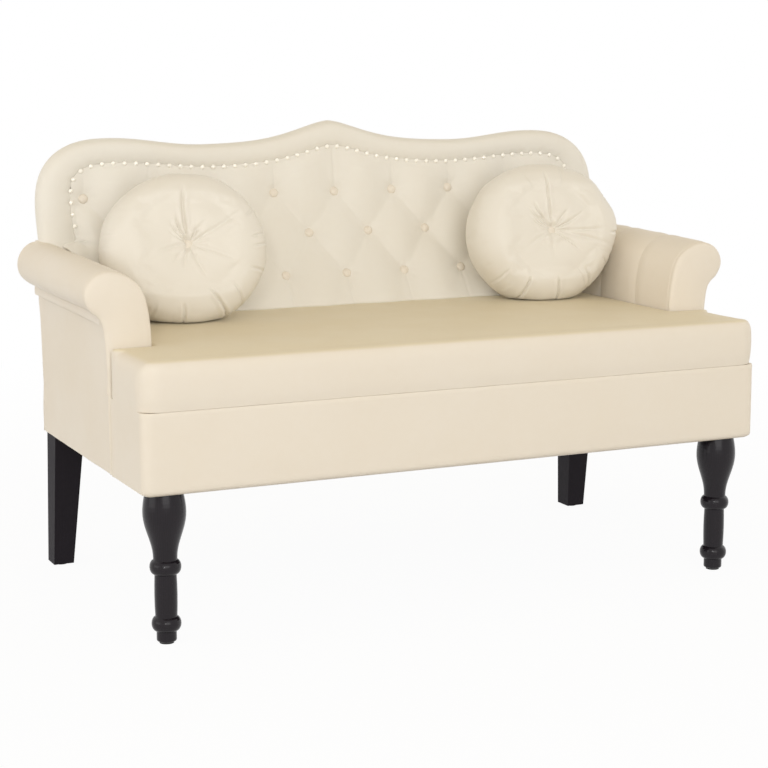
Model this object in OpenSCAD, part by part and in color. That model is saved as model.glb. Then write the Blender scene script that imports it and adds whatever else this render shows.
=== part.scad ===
// Chesterfield bench: rolled arms, serpentine tufted back, turned front legs, two round pillows.
// Millimetres, +Z up, front towards -Y. The origin is on the floor, under the middle of the whole.
// Every piece of the back is measured by its depth, the distance forward of the leaning rear face.

/* [Box] */
// Width of the padded box over its side panels
box_w = 1068; // [980:1:1400]
// Depth of the padded box at its underside
box_d = 550; // [510:1:640]
// Height of the front panel, from the legs to the seat seam
apron_h = 120; // [105:1:150]
// Thickness of the padded panels
panel_t = 10; // [8:1:12]
// Radius of the box's front corners
corner_r = 16; // [14:1:34]
// How far the panels are pulled in at the seat seam
seam_in = 6; // [2:1:7]

/* [Seat] */
// Thickness of the seat pad at the arms
seat_t = 75; // [60:1:95]
// How far the seat pad swells past the box
seat_bulge = 8; // [4:1:12]
// Rise of the seat pad's middle
seat_crown = 4; // [1:1:10]
// Radius of the seat pad's front corners
seat_corner_r = 36; // [30:1:60]

/* [Arms] */
// Thickness of an arm at the seat
arm_t = 69.5; // [64:0.5:85]
// Height of an arm's roll above the seat, at its front
arm_h = 116; // [105:1:150]
// Rise of the roll from its front to the back
arm_rise = 11; // [2:1:20]
// Radius of the roll
roll_r = 36; // [30:1:40]
// How far the roll reaches past the box's side
roll_out = 38.5; // [34:0.5:50]
// Distance of the arm's front behind the box's front
arm_setback = 151; // [120:1:190]
// Thickness of the panel on the arm's front
arm_panel_t = 12; // [9:1:16]
// Depth of a pleat in the arm's padding
pleat_in = 3; // [2:0.5:8]
// Places of the two pleats, as shares of the arm's length
pleats = [0.29, 0.6];

/* [Back] */
// Height of the back's peak above the seat
back_h = 319; // [290:1:380]
// Drop from the peak to the valleys beside it
valley_drop = 38; // [15:1:50]
// Drop from the peak to the two side lobes
lobe_drop = 24; // [10:1:40]
// Distance of a valley from the middle
valley_x = 237; // [200:1:280]
// Distance of a lobe's top from the middle
lobe_x = 404; // [380:1:420]
// Height of the rounded shoulder below the lobe's top
shoulder_h = 116; // [90:1:125]
// How far the back's sides reach past the box
back_out = 1.5; // [0.5:0.5:9]
// Lean of the back, in degrees
back_lean = 4.2; // [2:0.1:8]

/* [Band] */
// Width of the smooth band at the peak
band_peak_w = 43; // [36:1:50]
// Width of the band at the side lobes
band_lobe_w = 41; // [34:1:48]
// Width of the band at the sides
band_side_w = 56; // [48:1:64]
// Drop of the nail line from its peak to its valleys
nail_drop = 33; // [15:1:40]
// Depth of the nail line
nail_depth = 45; // [41:1:52]
// Swell of the band in front of the nail line
band_swell = 7; // [3:1:10]

/* [Tufting] */
// Distance of the outer buttons from the arms
button_in = 8.5; // [8.5:0.5:30]
// Height of the lowest row above the seat
low_row_h = 55; // [45:1:65]
// Distance between two rows
row_gap = 70; // [60:1:74]
// Depth of the tufted pad at the seat
foot_depth = 124; // [105:1:140]
// Height of a puff above the folds round it
puff_h = 14; // [8:1:24]
// Radius of a covered button
button_r = 8.5; // [6:0.5:10]
// Height of a button's dome
button_h = 4.5; // [3:0.5:7]
// How deep a button pulls the pad in
button_pull = 5; // [2:0.5:8]

/* [Nails] */
// Radius of a nail's head
nail_r = 4; // [3:0.5:5]
// Height of a nail's head
nail_h = 2.6; // [1.5:0.1:3]
// Distance from nail to nail
nail_pitch = 19.8; // [14:0.1:26]
// Length of a nail's shank
nail_shank = 10; // [6:1:12]

/* [Legs] */
// Height of the legs, glides included
leg_h = 236; // [200:1:280]
// Distance of a front leg's axis from the box's side
leg_side_in = 45; // [42:0.5:54]
// Distance of a front leg's axis behind the box's front
leg_front_in = 43.5; // [41:0.5:50]
// Radius of the front leg's neck
neck_r = 27; // [22:0.5:30]
// Greatest radius of the front leg's bulb
bulb_r = 32.4; // [30:0.1:34]
// Radius under the bulb
waist_r = 18; // [16:0.5:20]
// Radius of the bead under the bulb
bead_r = 23.7; // [21:0.1:26]
// Radius of the shaft
shaft_r = 16.5; // [14:0.5:18]
// Radius of the ring above the foot
ring_r = 22.3; // [19:0.1:25]
// Radius of the foot
foot_r = 15.1; // [13:0.1:17]
// Half the height of the bead and the ring
bead_h = 11; // [7:1:12]
// Width of a rear leg at its top
rear_top = 50; // [46:1:56]
// Width of a rear leg at its foot
rear_foot_w = 34.5; // [28:0.5:40]
// Depth of a rear leg at its foot
rear_foot_d = 38; // [30:1:42]
// How far a rear leg rakes back
rear_rake = 19; // [0:1:24]
// Distance of a rear leg behind the box's side
rear_leg_in = 8; // [4:0.5:12]
// Thickness of a glide
glide_t = 3; // [2:0.5:5]
// Radius of a glide
glide_r = 11; // [8:1:12]

/* [Timber] */
// Thickness of the seat rails and arm boards
rail_t = 20; // [18:1:22]
// Thickness of the back's posts and rails
frame_t = 18; // [15:1:20]
// Width of a back post
post_w = 42; // [36:1:55]
// Height of the board that carries the crest
crest_rail_h = 75; // [60:1:90]
// Height of the back's lower rail
low_rail_h = 50; // [40:1:70]
// Height of the stretcher under the seat
stretcher_h = 70; // [50:1:80]
// Side of a corner block
block_w = 58; // [50:1:70]
// Height of a corner block
block_h = 64; // [54:1:80]

/* [Webbing] */
// Thickness of the webbing
web_t = 2.5; // [2:0.5:3.5]
// Width of a strap
web_w = 60; // [40:1:70]
// Number of straps under the seat
seat_webs = 8; // [6:1:9]
// Number of straps behind the tufted pad
back_webs = 2; // [1:1:2]
// Thickness of the dust cover
dust_t = 1; // [0.5:0.1:2]

/* [Fasteners] */
// Radius of the leg bolts' thread
leg_bolt_r = 4; // [3:0.5:5]
// Length of a leg bolt
leg_bolt_l = 66; // [56:1:80]
// Outer radius of the threaded insert
insert_r = 6; // [5.5:0.1:6.5]
// Length of the threaded insert
insert_l = 22; // [15:1:30]
// Radius of the bolts through the back posts
back_bolt_r = 3; // [2.5:0.5:4]
// Radius of the dowels under the arm boards
dowel_r = 5; // [4:0.5:6]
// Length of a dowel
dowel_l = 60; // [40:1:70]

/* [Pillows] */
// Width of a pillow
pillow_w = 274; // [220:1:278]
// Height of a pillow as a share of its width, under its own weight
pillow_settle = 0.92; // [0.88:0.01:1]
// Thickness of a pillow
pillow_t = 152; // [100:1:156]
// How deep the buttons pull a pillow in
pillow_pull = 30; // [15:1:36]
// How far a pillow is flattened by the seat
pillow_press = 8; // [3:1:10]
// Gap from the tufted pad's puffs to a pillow's rear
pillow_back_gap = 24; // [22:1:40]
// How far the right pillow reaches over the arm
right_reach = 12; // [-60:1:14]
// How far the left pillow reaches over the arm
left_reach = 8; // [-60:1:12]
// How far the left pillow stands in front of the right one
left_forward = 6; // [0:1:30]
// Lean of the right pillow, in degrees
right_lean = 12; // [4:1:14]
// Lean of the left pillow, in degrees
left_lean = 17; // [4:1:18]
// Turn of the right pillow towards the left, in degrees
right_turn = 6; // [-8:1:8]
// Turn of the left pillow towards the left, in degrees
left_turn = 8; // [-8:1:10]

/* [Hidden] */
// Air between padded pieces that lie against each other
gap = 0.3;
// Play of a bolt, dowel or insert in its bore
play = 0.15;
// Width of the seam that the nails are driven through
seam_w = 1.4;
// Exponent of the rounded shoulders
shoulder_n = 2.5;
// The back's peak: how fast it falls, as a share of the valley's distance, and its exponent
peak_reach = 0.42;
peak_n = 1.57;
$fn = 48;

seam_z = leg_h + apron_h;
seat_top = seam_z + seat_t;
rail_top = seam_z - web_t;
peak_z = seat_top + back_h;
lean = tan(back_lean);
box_front = -(box_d + (peak_z - leg_h) * lean - seat_bulge) / 2;
box_rear = box_front + box_d;
side_x = box_w / 2;
wall_x = side_x - panel_t;
rail_in_x = wall_x - rail_t;
post_in_x = wall_x - post_w;
arm_x = side_x - arm_t;
arm_y = box_front + arm_setback;
arm_pad_y = arm_y + arm_panel_t;
side_seam_y = arm_y + 3;
roll_x = side_x + roll_out - roll_r;
roll_z = seat_top + arm_h - roll_r;
lip_angle = 70;
lip_z = roll_z - roll_r * sin(lip_angle);
arm_board_z = roll_z - 4;
arm_end_z = seat_top + arm_h + arm_rise;
frame_depth = panel_t + frame_t;
web_depth = frame_depth + web_t;
pad_depth = web_depth + gap;
rail_depth = frame_depth + rail_t;
rest_z = seat_top + seat_crown + gap;
side_buttons = 4;
button_step = (arm_x - button_in) / side_buttons;
top_row_z = seat_top + low_row_h + 2 * row_gap;
dust_in = 15;

// Y of a point of the back at height z and the given depth
function back_y(z, depth) = box_rear + (z - leg_h) * lean - depth;
function clamp(a, low, high) = max(low, min(high, a));
function mix(a, b, t) = a + (b - a) * t;

// Faces of a skin over m rings of n points, for rings that turn anticlockwise round their travel
function skin_faces(m, n) = [
    for (i = [0:m - 2], j = [0:n - 1]) each
        let (a = i * n + j, b = i * n + (j + 1) % n, c = a + n, d = b + n)
        [[a, c, b], [b, c, d]]
];
// Faces from the first or the last ring to one point in its middle
function start_fan(n, tip) = [for (j = [0:n - 1]) [tip, j, (j + 1) % n]];
function end_fan(base, n, tip) = [for (j = [0:n - 1]) [tip, base + (j + 1) % n, base + j]];
// Faces across a ring whose two halves face each other
function start_strip(n) = [
    for (j = [0:n / 2 - 2]) each [[j, j + 1, n - 1 - j], [j + 1, n - 2 - j, n - 1 - j]]
];
function end_strip(base, n) = [for (f = start_strip(n)) [base + f[0], base + f[2], base + f[1]]];

module skin_fans(rings, start, end) {
    m = len(rings);
    n = len(rings[0]);
    polyhedron(
        points = concat([for (r = rings) each r], [start, end]),
        faces = concat(skin_faces(m, n), start_fan(n, m * n), end_fan((m - 1) * n, n, m * n + 1)),
        convexity = 6);
}

module skin_strips(rings) {
    m = len(rings);
    n = len(rings[0]);
    polyhedron(
        points = [for (r = rings) each r],
        faces = concat(skin_faces(m, n), start_strip(n), end_strip((m - 1) * n, n)),
        convexity = 6);
}

// An outline drawn as [y, z], spread along X from x0 to x1
module along_x(x0, x1) {
    translate([x0, 0, 0]) rotate([90, 0, 90]) linear_extrude(x1 - x0) children();
}

// An outline drawn as [x, z], spread along Y from y0 to y1
module along_y(y0, y1) {
    translate([0, y1, 0]) rotate([90, 0, 0]) linear_extrude(y1 - y0) children();
}

// A slab of the back between two depths and two heights
module back_slab(x0, x1, z0, z1, near, far) {
    along_x(x0, x1) polygon([
        [back_y(z0, near), z0], [back_y(z1, near), z1],
        [back_y(z1, far), z1], [back_y(z0, far), z0]]);
}

// The camel crest: its height at x, with a peak, a valley and a lobe on each side
function crest(x, top, drop, lobe, vx, lx) =
    let (a = abs(x), t = clamp((a - vx) / (lx - vx), 0, 1))
    top - drop * (1 - exp(-pow(a / (peak_reach * vx), peak_n))) + (drop - lobe) * (1 - cos(180 * t)) / 2;

// Half of a serpentine edge, from the middle to the arm: crest, rounded shoulder, side
crest_steps = 14;
shoulder_steps = 8;
side_steps = 2;
function half_edge(top, drop, lobe, vx, lx, sx, sh, foot_in) = concat(
    [for (i = [0:crest_steps]) let (x = lx * i / crest_steps) [x, crest(x, top, drop, lobe, vx, lx)]],
    [for (i = [1:shoulder_steps]) let (a = 90 * i / shoulder_steps)
        [lx + (sx - lx) * pow(sin(a), 2 / shoulder_n),
         top - lobe - sh * (1 - pow(max(0, cos(a)), 2 / shoulder_n))]],
    [for (i = [1:side_steps]) let (t = i / side_steps)
        [sx - foot_in * t * t, mix(top - lobe - sh, arm_end_z + gap, t)]]);

nail_peak_z = peak_z - band_peak_w;
nail_lobe_drop = nail_peak_z - (peak_z - lobe_drop - band_lobe_w);
nail_side_x = side_x + back_out - band_side_w;
nail_shoulder_up = 65;
nail_shoulder_h = shoulder_h - nail_shoulder_up;
outer_half = half_edge(peak_z, valley_drop, lobe_drop, valley_x, lobe_x,
    side_x + back_out, shoulder_h, 4);
inner_half = half_edge(nail_peak_z, nail_drop, nail_lobe_drop, valley_x - 22, lobe_x,
    nail_side_x, nail_shoulder_h, 9);
half_n = len(outer_half);

// Point k of the band from its left foot over the top to its right foot, t from inner to outer edge
function band_xz(k, t) =
    let (i = abs(k), s = k < 0 ? -1 : 1, a = inner_half[i], b = outer_half[i])
    [s * mix(a[0], b[0], t), mix(a[1], b[1], t)];

// The outline of a back board whose edge lies the share t across the band
module crest_outline(t, low_x, low_z) {
    polygon(concat(
        [[-low_x, low_z]],
        [for (k = [1 - half_n:half_n - 1]) band_xz(k, t)],
        [[low_x, low_z]]));
}

// How far across the band its rear edge lies: rounded off along the crest, nearly square at the arms
function rear_share(k) = mix(0.94, 0.78, clamp((half_n - 1 - abs(k)) / 5, 0, 1));

nail_shoulder_z = nail_peak_z - nail_lobe_drop - nail_shoulder_h;
nail_line = [for (p = inner_half) if (p[0] <= lobe_x || p[1] > nail_shoulder_z) p];
nail_sides = [for (i = [half_n - 1:-1:crest_steps]) [inner_half[i][1], inner_half[i][0]]];
function nail_z(x) = lookup(abs(x), nail_line);
function nail_slope(x) = (nail_z(abs(x) + 1) - nail_z(abs(x) - 1)) / 2;
function nail_x(z) = lookup(z, nail_sides);

// The profile of a padded box panel: [inset from the outer face, z]
panel_steps = 10;
function panel_inset(t) = seam_in * pow(t, 6) + 2 * pow(1 - t, 8);
function panel_profile() = concat(
    [for (i = [0:panel_steps]) let (t = i / panel_steps) [panel_inset(t), mix(leg_h, seam_z, t)]],
    [[panel_t, seam_z], [panel_t, leg_h]]);

module front_rail() {
    r = corner_r - panel_t;
    color("burlywood") intersection() {
        translate([-wall_x, box_front + panel_t, leg_h]) cube([2 * wall_x, rail_t, rail_top - leg_h]);
        union() {
            translate([r - wall_x, box_front, 0]) cube([2 * (wall_x - r), box_d, seam_z]);
            translate([-wall_x, box_front + corner_r, 0]) cube([2 * wall_x, box_d, seam_z]);
            for (s = [-1, 1]) translate([s * (wall_x - r), box_front + corner_r, 0])
                cylinder(r = r - gap, h = seam_z);
        }
    }
}

insert_bore_r = insert_r + play;
bolt_bore_r = leg_bolt_r + play;
leg_bolt_down = leg_bolt_l / 2;
// Where the four leg bolts stand, seen from above, for the right side
front_bolt = [side_x - leg_side_in, box_front + leg_front_in];
rear_bolt = [rail_in_x - 9, back_y(leg_h + insert_l, frame_depth + rail_t / 2)];

module leg_bores(bolt) {
    for (s = [-1, 1]) translate([s * bolt[0], bolt[1], leg_h - 1]) {
        cylinder(r = insert_bore_r, h = insert_l + 1 + gap);
        cylinder(r = bolt_bore_r, h = leg_bolt_l - leg_bolt_down + 3);
    }
}

module rear_rail() {
    color("burlywood") difference() {
        back_slab(-wall_x, wall_x, leg_h, rail_top, frame_depth, rail_depth);
        leg_bores(rear_bolt);
        back_bolt_bores();
    }
}

dowel_in = 50;
dowel_ys = [arm_pad_y + dowel_in, back_y(rail_top, frame_depth) - dowel_in];
dowel_x = wall_x - rail_t / 2;
module dowel_bores() {
    for (y = dowel_ys) translate([dowel_x, y, rail_top - dowel_l / 2 - play])
        cylinder(r = dowel_r + play, h = dowel_l + 2 * play);
}

module side_rail() {
    y0 = box_front + panel_t + rail_t;
    color("burlywood") difference() {
        along_x(rail_in_x, wall_x) polygon([
            [y0, leg_h], [back_y(leg_h, rail_depth), leg_h],
            [back_y(rail_top, rail_depth), rail_top], [y0, rail_top]]);
        dowel_bores();
    }
}
module side_rail_right() { side_rail(); }
module side_rail_left() { mirror([1, 0, 0]) side_rail(); }

module centre_stretcher() {
    y0 = box_front + panel_t + rail_t;
    z0 = rail_top - stretcher_h;
    color("burlywood") along_x(-rail_t / 2, rail_t / 2) polygon([
        [y0, z0], [back_y(z0, rail_depth), z0],
        [back_y(rail_top, rail_depth), rail_top], [y0, rail_top]]);
}

// The blocks that the front legs screw into, cut off at their inner corner
module corner_blocks() {
    y0 = box_front + panel_t + rail_t;
    cut = block_w / 3;
    color("tan") difference() {
        for (s = [-1, 1]) scale([s, 1, 1]) translate([0, 0, leg_h]) linear_extrude(block_h) polygon([
            [rail_in_x, y0], [rail_in_x, y0 + block_w], [rail_in_x - block_w + cut, y0 + block_w],
            [rail_in_x - block_w, y0 + block_w - cut], [rail_in_x - block_w, y0]]);
        leg_bores(front_bolt);
    }
}

module seat_webbing() {
    pitch = 2 * rail_in_x / seat_webs;
    y0 = box_front + panel_t + 2;
    y1 = back_y(rail_top, frame_depth) - 2;
    color("dimgray") for (i = [0:seat_webs - 1])
        translate([-rail_in_x + (i + 0.5) * pitch - web_w / 2, y0, rail_top]) cube([web_w, y1 - y0, web_t]);
}

module dust_cover() {
    notch = 2 * bulb_r + 4;
    x = side_x - dust_in;
    y0 = box_front + dust_in;
    y1 = box_rear - dust_in;
    leg_x = front_bolt[0] - notch / 2;
    rear_x = side_x - rear_leg_in - rear_top - 3;
    color("black") translate([0, 0, leg_h - dust_t]) linear_extrude(dust_t) polygon([
        [-leg_x, y0], [leg_x, y0], [leg_x, front_bolt[1] + notch / 2], [x, front_bolt[1] + notch / 2],
        [x, box_rear - rear_top - 3], [rear_x, box_rear - rear_top - 3], [rear_x, y1],
        [-rear_x, y1], [-rear_x, box_rear - rear_top - 3], [-x, box_rear - rear_top - 3],
        [-x, front_bolt[1] + notch / 2], [-leg_x, front_bolt[1] + notch / 2]]);
}

module front_apron() {
    x = side_x - corner_r;
    color("antiquewhite") translate([0, box_front, 0]) along_x(-x, x) polygon(panel_profile());
}

// A turned front corner and its return along the side, up to the seam in front of the arm
module apron_corner() {
    y = box_front + corner_r;
    color("antiquewhite") {
        translate([side_x - corner_r, y, 0]) rotate([0, 0, -90]) rotate_extrude(angle = 90, $fn = 64)
            polygon([for (p = panel_profile()) [corner_r - p[0], p[1]]]);
        along_y(y, side_seam_y - gap) polygon([for (p = panel_profile()) [side_x - p[0], p[1]]]);
    }
}
module apron_corner_right() { apron_corner(); }
module apron_corner_left() { mirror([1, 0, 0]) apron_corner(); }

// The outer side of an arm and of the box under it, up to the roll and behind its end
module side_panel() {
    top = lip_z - gap;
    color("antiquewhite") along_x(wall_x, side_x) polygon([
        [side_seam_y, leg_h], [back_y(leg_h, panel_t), leg_h],
        [back_y(arm_end_z, panel_t), arm_end_z], [back_y(arm_end_z, frame_depth), arm_end_z],
        [back_y(lifted(top, 1), frame_depth), lifted(top, 1)],
        [arm_pad_y, top], [arm_pad_y, seat_top], [side_seam_y, seat_top]]);
}
module side_panel_right() { side_panel(); }
module side_panel_left() { mirror([1, 0, 0]) side_panel(); }

module back_rear_panel() {
    color("antiquewhite") intersection() {
        along_y(box_front, box_rear + box_d) polygon(concat(
            [[-side_x, leg_h], [-side_x, seat_top]],
            [for (k = [1 - half_n:half_n - 1]) band_xz(k, rear_share(k))],
            [[side_x, seat_top], [side_x, leg_h]]));
        back_slab(-box_w, box_w, leg_h, peak_z, 0, panel_t - gap);
    }
}

// The scroll of an arm, from the seat over the roll to its lip
arm_lean = 7;
bend_z = roll_z - 12;
function scroll() = concat(
    [[arm_x, seam_z + gap], [arm_x, seat_top]],
    [for (t = [0.35, 0.7]) [arm_x + arm_lean * t, mix(seat_top, bend_z, t)]],
    [for (a = [180:-18:90]) [roll_x + (roll_x - arm_x - arm_lean) * cos(a),
        bend_z + (seat_top + arm_h - bend_z) * sin(a)]],
    [for (i = [1:8]) let (a = 90 - i * (90 + lip_angle) / 8)
        [roll_x + roll_r * cos(a), roll_z + roll_r * sin(a)]]);
// The path inside the padding, round the arm board, with one point for each point of the scroll
function board_side() =
    let (x0 = rail_in_x - gap, x1 = wall_x + gap, z = arm_board_z + gap, lip = scroll()[17][0] - 12)
    concat(
        [for (t = [0, 0.46, 0.62, 0.77, 0.88, 0.95]) [x0, mix(seam_z + gap, z, t)]],
        [for (i = [0:5]) [mix(x0, x1, i / 5), z]],
        [for (i = [1:3]) [x1, mix(z, lip_z, i / 4)]],
        [[x1, lip_z + 1.5], [mix(x1, lip, 0.45), lip_z + 1], [lip, lip_z + 0.4]]);
// The roll climbs towards the back
function lifted(z, t) = z + arm_rise * t * clamp((z - seat_top) / arm_h, 0, 1);

// Stations along an arm as [share of the length, how far the padding is drawn in]
edge_t = 0.035;
function lobe(a, b, start_in) =
    [[a, start_in], [a + edge_t, 0], [(a + b) / 2, -2], [b - edge_t, 0]];
arm_stations = concat(
    lobe(0, pleats[0], 2), lobe(pleats[0], pleats[1], pleat_in), lobe(pleats[1], 1, pleat_in), [[1, 9]]);

function arm_ring(t, drawn) =
    let (outer = scroll(), inner = board_side(), n = len(outer),
         front = [for (i = [0:n - 1])
            let (p = outer[i], q = inner[i], k = i < 2 || i == n - 1 ? 0 : drawn / norm(p - q))
            mix(p, q, k)],
         flat = concat(front, [for (i = [n - 1:-1:0]) inner[i]]))
    [for (p = flat) let (z = lifted(p[1], t))
        [p[0], mix(arm_pad_y, back_y(z, pad_depth), t), z]];

module arm_pad() {
    color("antiquewhite") skin_strips([for (s = arm_stations) arm_ring(s[0], s[1])]);
}
module arm_pad_right() { arm_pad(); }
module arm_pad_left() { mirror([1, 0, 0]) arm_pad(); }

module arm_frame() {
    color("burlywood") difference() {
        along_x(rail_in_x, wall_x) polygon([
            [arm_pad_y, rail_top], [back_y(rail_top, frame_depth), rail_top],
            [back_y(lifted(arm_board_z, 1), frame_depth), lifted(arm_board_z, 1)],
            [arm_pad_y, arm_board_z]]);
        dowel_bores();
    }
}
module arm_frame_right() { arm_frame(); }
module arm_frame_left() { mirror([1, 0, 0]) arm_frame(); }

module arm_dowels() {
    color("tan") for (s = [-1, 1], y = dowel_ys)
        translate([s * dowel_x, y, rail_top - dowel_l / 2]) cylinder(r = dowel_r, h = dowel_l);
}

// The flat scroll-shaped panel on an arm's front, with a tongue down behind the seat's ear
function panel_outline(shrink) =
    let (c = [mix(arm_x, roll_x, 0.7), mix(seat_top, roll_z, 0.6)], s = scroll(),
         face = concat(
            [for (i = [1:17]) s[i]],
            [[side_x + 6, lip_z - 8], [side_x + 3, seat_top]]))
    concat([for (p = face) mix(p, c, shrink)],
        shrink > 0 ? [] : [[wall_x - gap, seat_top], [wall_x - gap, seam_z + gap], [arm_x, seam_z + gap]]);

module arm_front_panel() {
    edge = 3;
    color("antiquewhite") {
        along_y(arm_y + edge, arm_pad_y - gap) polygon(panel_outline(0));
        along_y(arm_y, arm_y + edge) polygon(panel_outline(0.05));
    }
}
module arm_front_panel_right() { arm_front_panel(); }
module arm_front_panel_left() { mirror([1, 0, 0]) arm_front_panel(); }

// One level of the T-shaped seat: a is the inset of its free edges, b of those at the arms, c of its rear
function seat_ring(z, a, b, c) =
    let (r = max(seat_corner_r - a, 4), x = side_x - a, y = box_front + a, w = arm_x - gap - b,
         rear = back_y(seam_z, frame_depth + gap) - c, ear = arm_y - gap - b,
         half = concat(
            [for (i = [0:6]) let (t = -90 + 15 * i) [x - r + r * cos(t), y + r + r * sin(t)]],
            [[x, ear - 5], [x - 5, ear], [w, ear], [w, rear]]),
         n = len(half))
    concat([for (p = half) [p[0], p[1], z]], [for (i = [n - 1:-1:0]) [-half[i][0], half[i][1], z]]);

// Levels as [share of the height, inset of the free edges, at the arms, at the rear]
seat_levels = [
    [0, seam_in + 1, 0, 0], [0.1, -seat_bulge * 0.5, 0, 0], [0.25, -seat_bulge * 0.9, 0, 0],
    [0.42, -seat_bulge, 0, 0], [0.6, -seat_bulge * 0.75, 0, 0], [0.76, -1, 0, 0],
    [0.88, 8, 1, 0], [0.96, 21, 4, 0], [1, 38, 9, foot_depth - 10]];

// The flat middle of the seat begins this far in from its free edges and from the arms
flat_in = 66;
flat_arm_in = 40;
module seat_pad() {
    low = seam_z + gap;
    rings = concat(
        [for (s = seat_levels) seat_ring(mix(low, seat_top, s[0]), s[1], s[2], s[3])],
        [seat_ring(seat_top + seat_crown, flat_in, flat_arm_in, foot_depth + 14)]);
    mid_y = arm_y - arm_setback / 2;
    color("antiquewhite") skin_fans(rings, [0, mid_y, low], [0, mid_y, seat_top + seat_crown]);
}

// The tufted pad: puffs between diagonal folds, and upright pleats above and below the rows.
// Each diamond is four columns wide on each side of its button
cells = 4;
// Flat margin of the pad beside the nail line
nail_margin = 9;
last_col = 2 * side_buttons * cells;
edge_col = last_col + 2;
side_gap = gap + 0.2;
function row_zs(x) = concat(
    [nail_z(x) - seam_w * norm([1, nail_slope(x)]), nail_z(x) - nail_margin,
        mix(nail_z(x) - nail_margin, top_row_z, 0.5)],
    [for (i = [0:2 * cells - 1]) top_row_z - i * row_gap / cells],
    [for (i = [0:3]) mix(top_row_z - 2 * row_gap, seat_top + gap, i / 3)]);
function pad_edge_x(z) = z < arm_end_z + 1 ? arm_x - side_gap : nail_x(z) - seam_w;
function fold_w(z) = clamp((top_row_z - z) / row_gap, 0, 2);
function puff(x, z) =
    let (p = x / button_step, w = fold_w(z) / 2)
    pow(abs(sin(180 * (p + w)) * sin(180 * (p - w))), 0.6);
function is_button(x, z) =
    let (w = fold_w(z), p = x / button_step - w / 2)
    abs(w - round(w)) < 0.01 && abs(p - round(p)) < 0.01 && z <= top_row_z + 0.01
        && z >= top_row_z - 2 * row_gap - 0.01;
function share_up(z, x) = clamp((z - seat_top) / (nail_z(x) - seat_top), 0, 1);
// Above the arms the pad thins out towards the nails at its sides
side_fade = 22;
function fullness(x, z) =
    z < arm_end_z - nail_margin ? 1
        : sqrt(clamp((pad_edge_x(z) - abs(x) - nail_margin) / side_fade, 0, 1));
function base_depth(x, z) =
    nail_depth + (foot_depth - nail_depth) * pow(1 - share_up(z, x), 1.9) * fullness(x, z);
function tuft_depth(x, z) =
    let (edge = clamp((pad_edge_x(z) - abs(x) - nail_margin) / 16, 0, 1),
         up = clamp((nail_z(x) - z - nail_margin) / 18, 0, 1),
         down = mix(0.65, 1, clamp((z - seat_top) / 14, 0, 1)))
    base_depth(x, z) + puff_h * puff(x, z) * sqrt(edge * up) * down
        - (is_button(x, z) ? button_pull : 0);

function tuft_column(k) =
    let (s = k < 0 ? -1 : 1, last_x = button_step * side_buttons, out = abs(k) - last_col,
         share = out < 1 ? 0 : out < 2 ? 0.6 : 1, x0 = button_step / (2 * cells) * k,
         zs = row_zs(out < 1 ? x0 : mix(last_x, nail_side_x - 2, share)),
         front = [for (z = zs) let (x = out < 1 ? x0 : s * mix(last_x, pad_edge_x(z), share))
            [x, back_y(z, tuft_depth(x, z)), z]],
         low = front[len(front) - 1], high = front[0], rear_x = arm_x - side_gap)
    concat(front, [for (p = [low, high])
        [clamp(p[0], -rear_x, rear_x), back_y(p[2], pad_depth), p[2]]]);

// Each cell of the front is split along its lower diagonal, so that the folds stay sharp
function tuft_faces(cols, m, n) = [
    for (i = [0:m - 2], j = [0:n - 1]) each
        let (k = (j + 1) % n, a = i * n + j, b = i * n + k, c = a + n, d = b + n,
             fold = cols[i][j][1] + cols[i + 1][k][1] > cols[i][k][1] + cols[i + 1][j][1] && j < n - 3)
        fold ? [[a, d, b], [a, c, d]] : [[a, c, b], [b, c, d]]
];
function tuft_cap(base, n) =
    let (low = n - 2, high = n - 1, mid = floor(n / 2))
    [for (j = [0:n - 4]) each j < mid ? [[high, j, j + 1]] : j == mid ? [[high, j, low], [low, j, j + 1]]
        : [[low, j, j + 1]]];

module tufted_pad() {
    cols = [for (k = [-edge_col:edge_col]) tuft_column(k)];
    m = len(cols);
    n = len(cols[0]);
    cap = tuft_cap(0, n);
    color("antiquewhite") polyhedron(
        points = [for (c = cols) each c],
        faces = concat(tuft_faces(cols, m, n), cap,
            [for (f = cap) [for (i = [0, 2, 1]) f[i] + (m - 1) * n]]),
        convexity = 10);
}

// Covered buttons: a cone that fills the pull in the pad, under a low dome
module button(pull) {
    rotate_extrude() polygon(concat(
        [[0, 0], [button_r, pull]],
        [for (a = [30:30:90]) [button_r * cos(a), pull + button_h * sin(a)]]));
}

button_rise = (button_pull + puff_h * pow(pow(sin(180 / (2 * cells)), 2), 0.6))
    * button_r * 2 * cells / button_step + 1.3;
function row_slope(z) =
    let (d = 2) (back_y(z + d, base_depth(0, z + d)) - back_y(z - d, base_depth(0, z - d))) / (2 * d);

module back_buttons() {
    color("wheat") for (row = [0:2]) {
        z = top_row_z - row * row_gap;
        shift = row == 1 ? 0.5 : 0;
        for (i = [-side_buttons:side_buttons - 2 * shift]) {
            x = (i + shift) * button_step;
            translate([x, back_y(z, base_depth(x, z) - button_pull + gap), z])
                rotate([90 - atan(row_slope(z)), 0, 0]) button(button_rise);
        }
    }
}

// The band's section as [share across, depth], from its outer edge down the front and up the rear
function band_section(k) =
    let (r = rear_share(k))
    [[1, 27], [0.95, nail_depth - 6], [0.82, nail_depth + 2], [0.6, nail_depth + band_swell],
        [0.34, nail_depth + band_swell + 0.5], [0.14, nail_depth + 1], [0, nail_depth - 1],
        [0, pad_depth], [0.72, pad_depth], [0.72, panel_t + gap], [r, panel_t + gap],
        [mix(r, 1, 0.6), mix(panel_t, 27, 0.4)]];

function band_ring(k, section) = [
    for (p = section) let (q = band_xz(k, p[0])) [q[0], back_y(q[1], p[1]), q[1]]];

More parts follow.
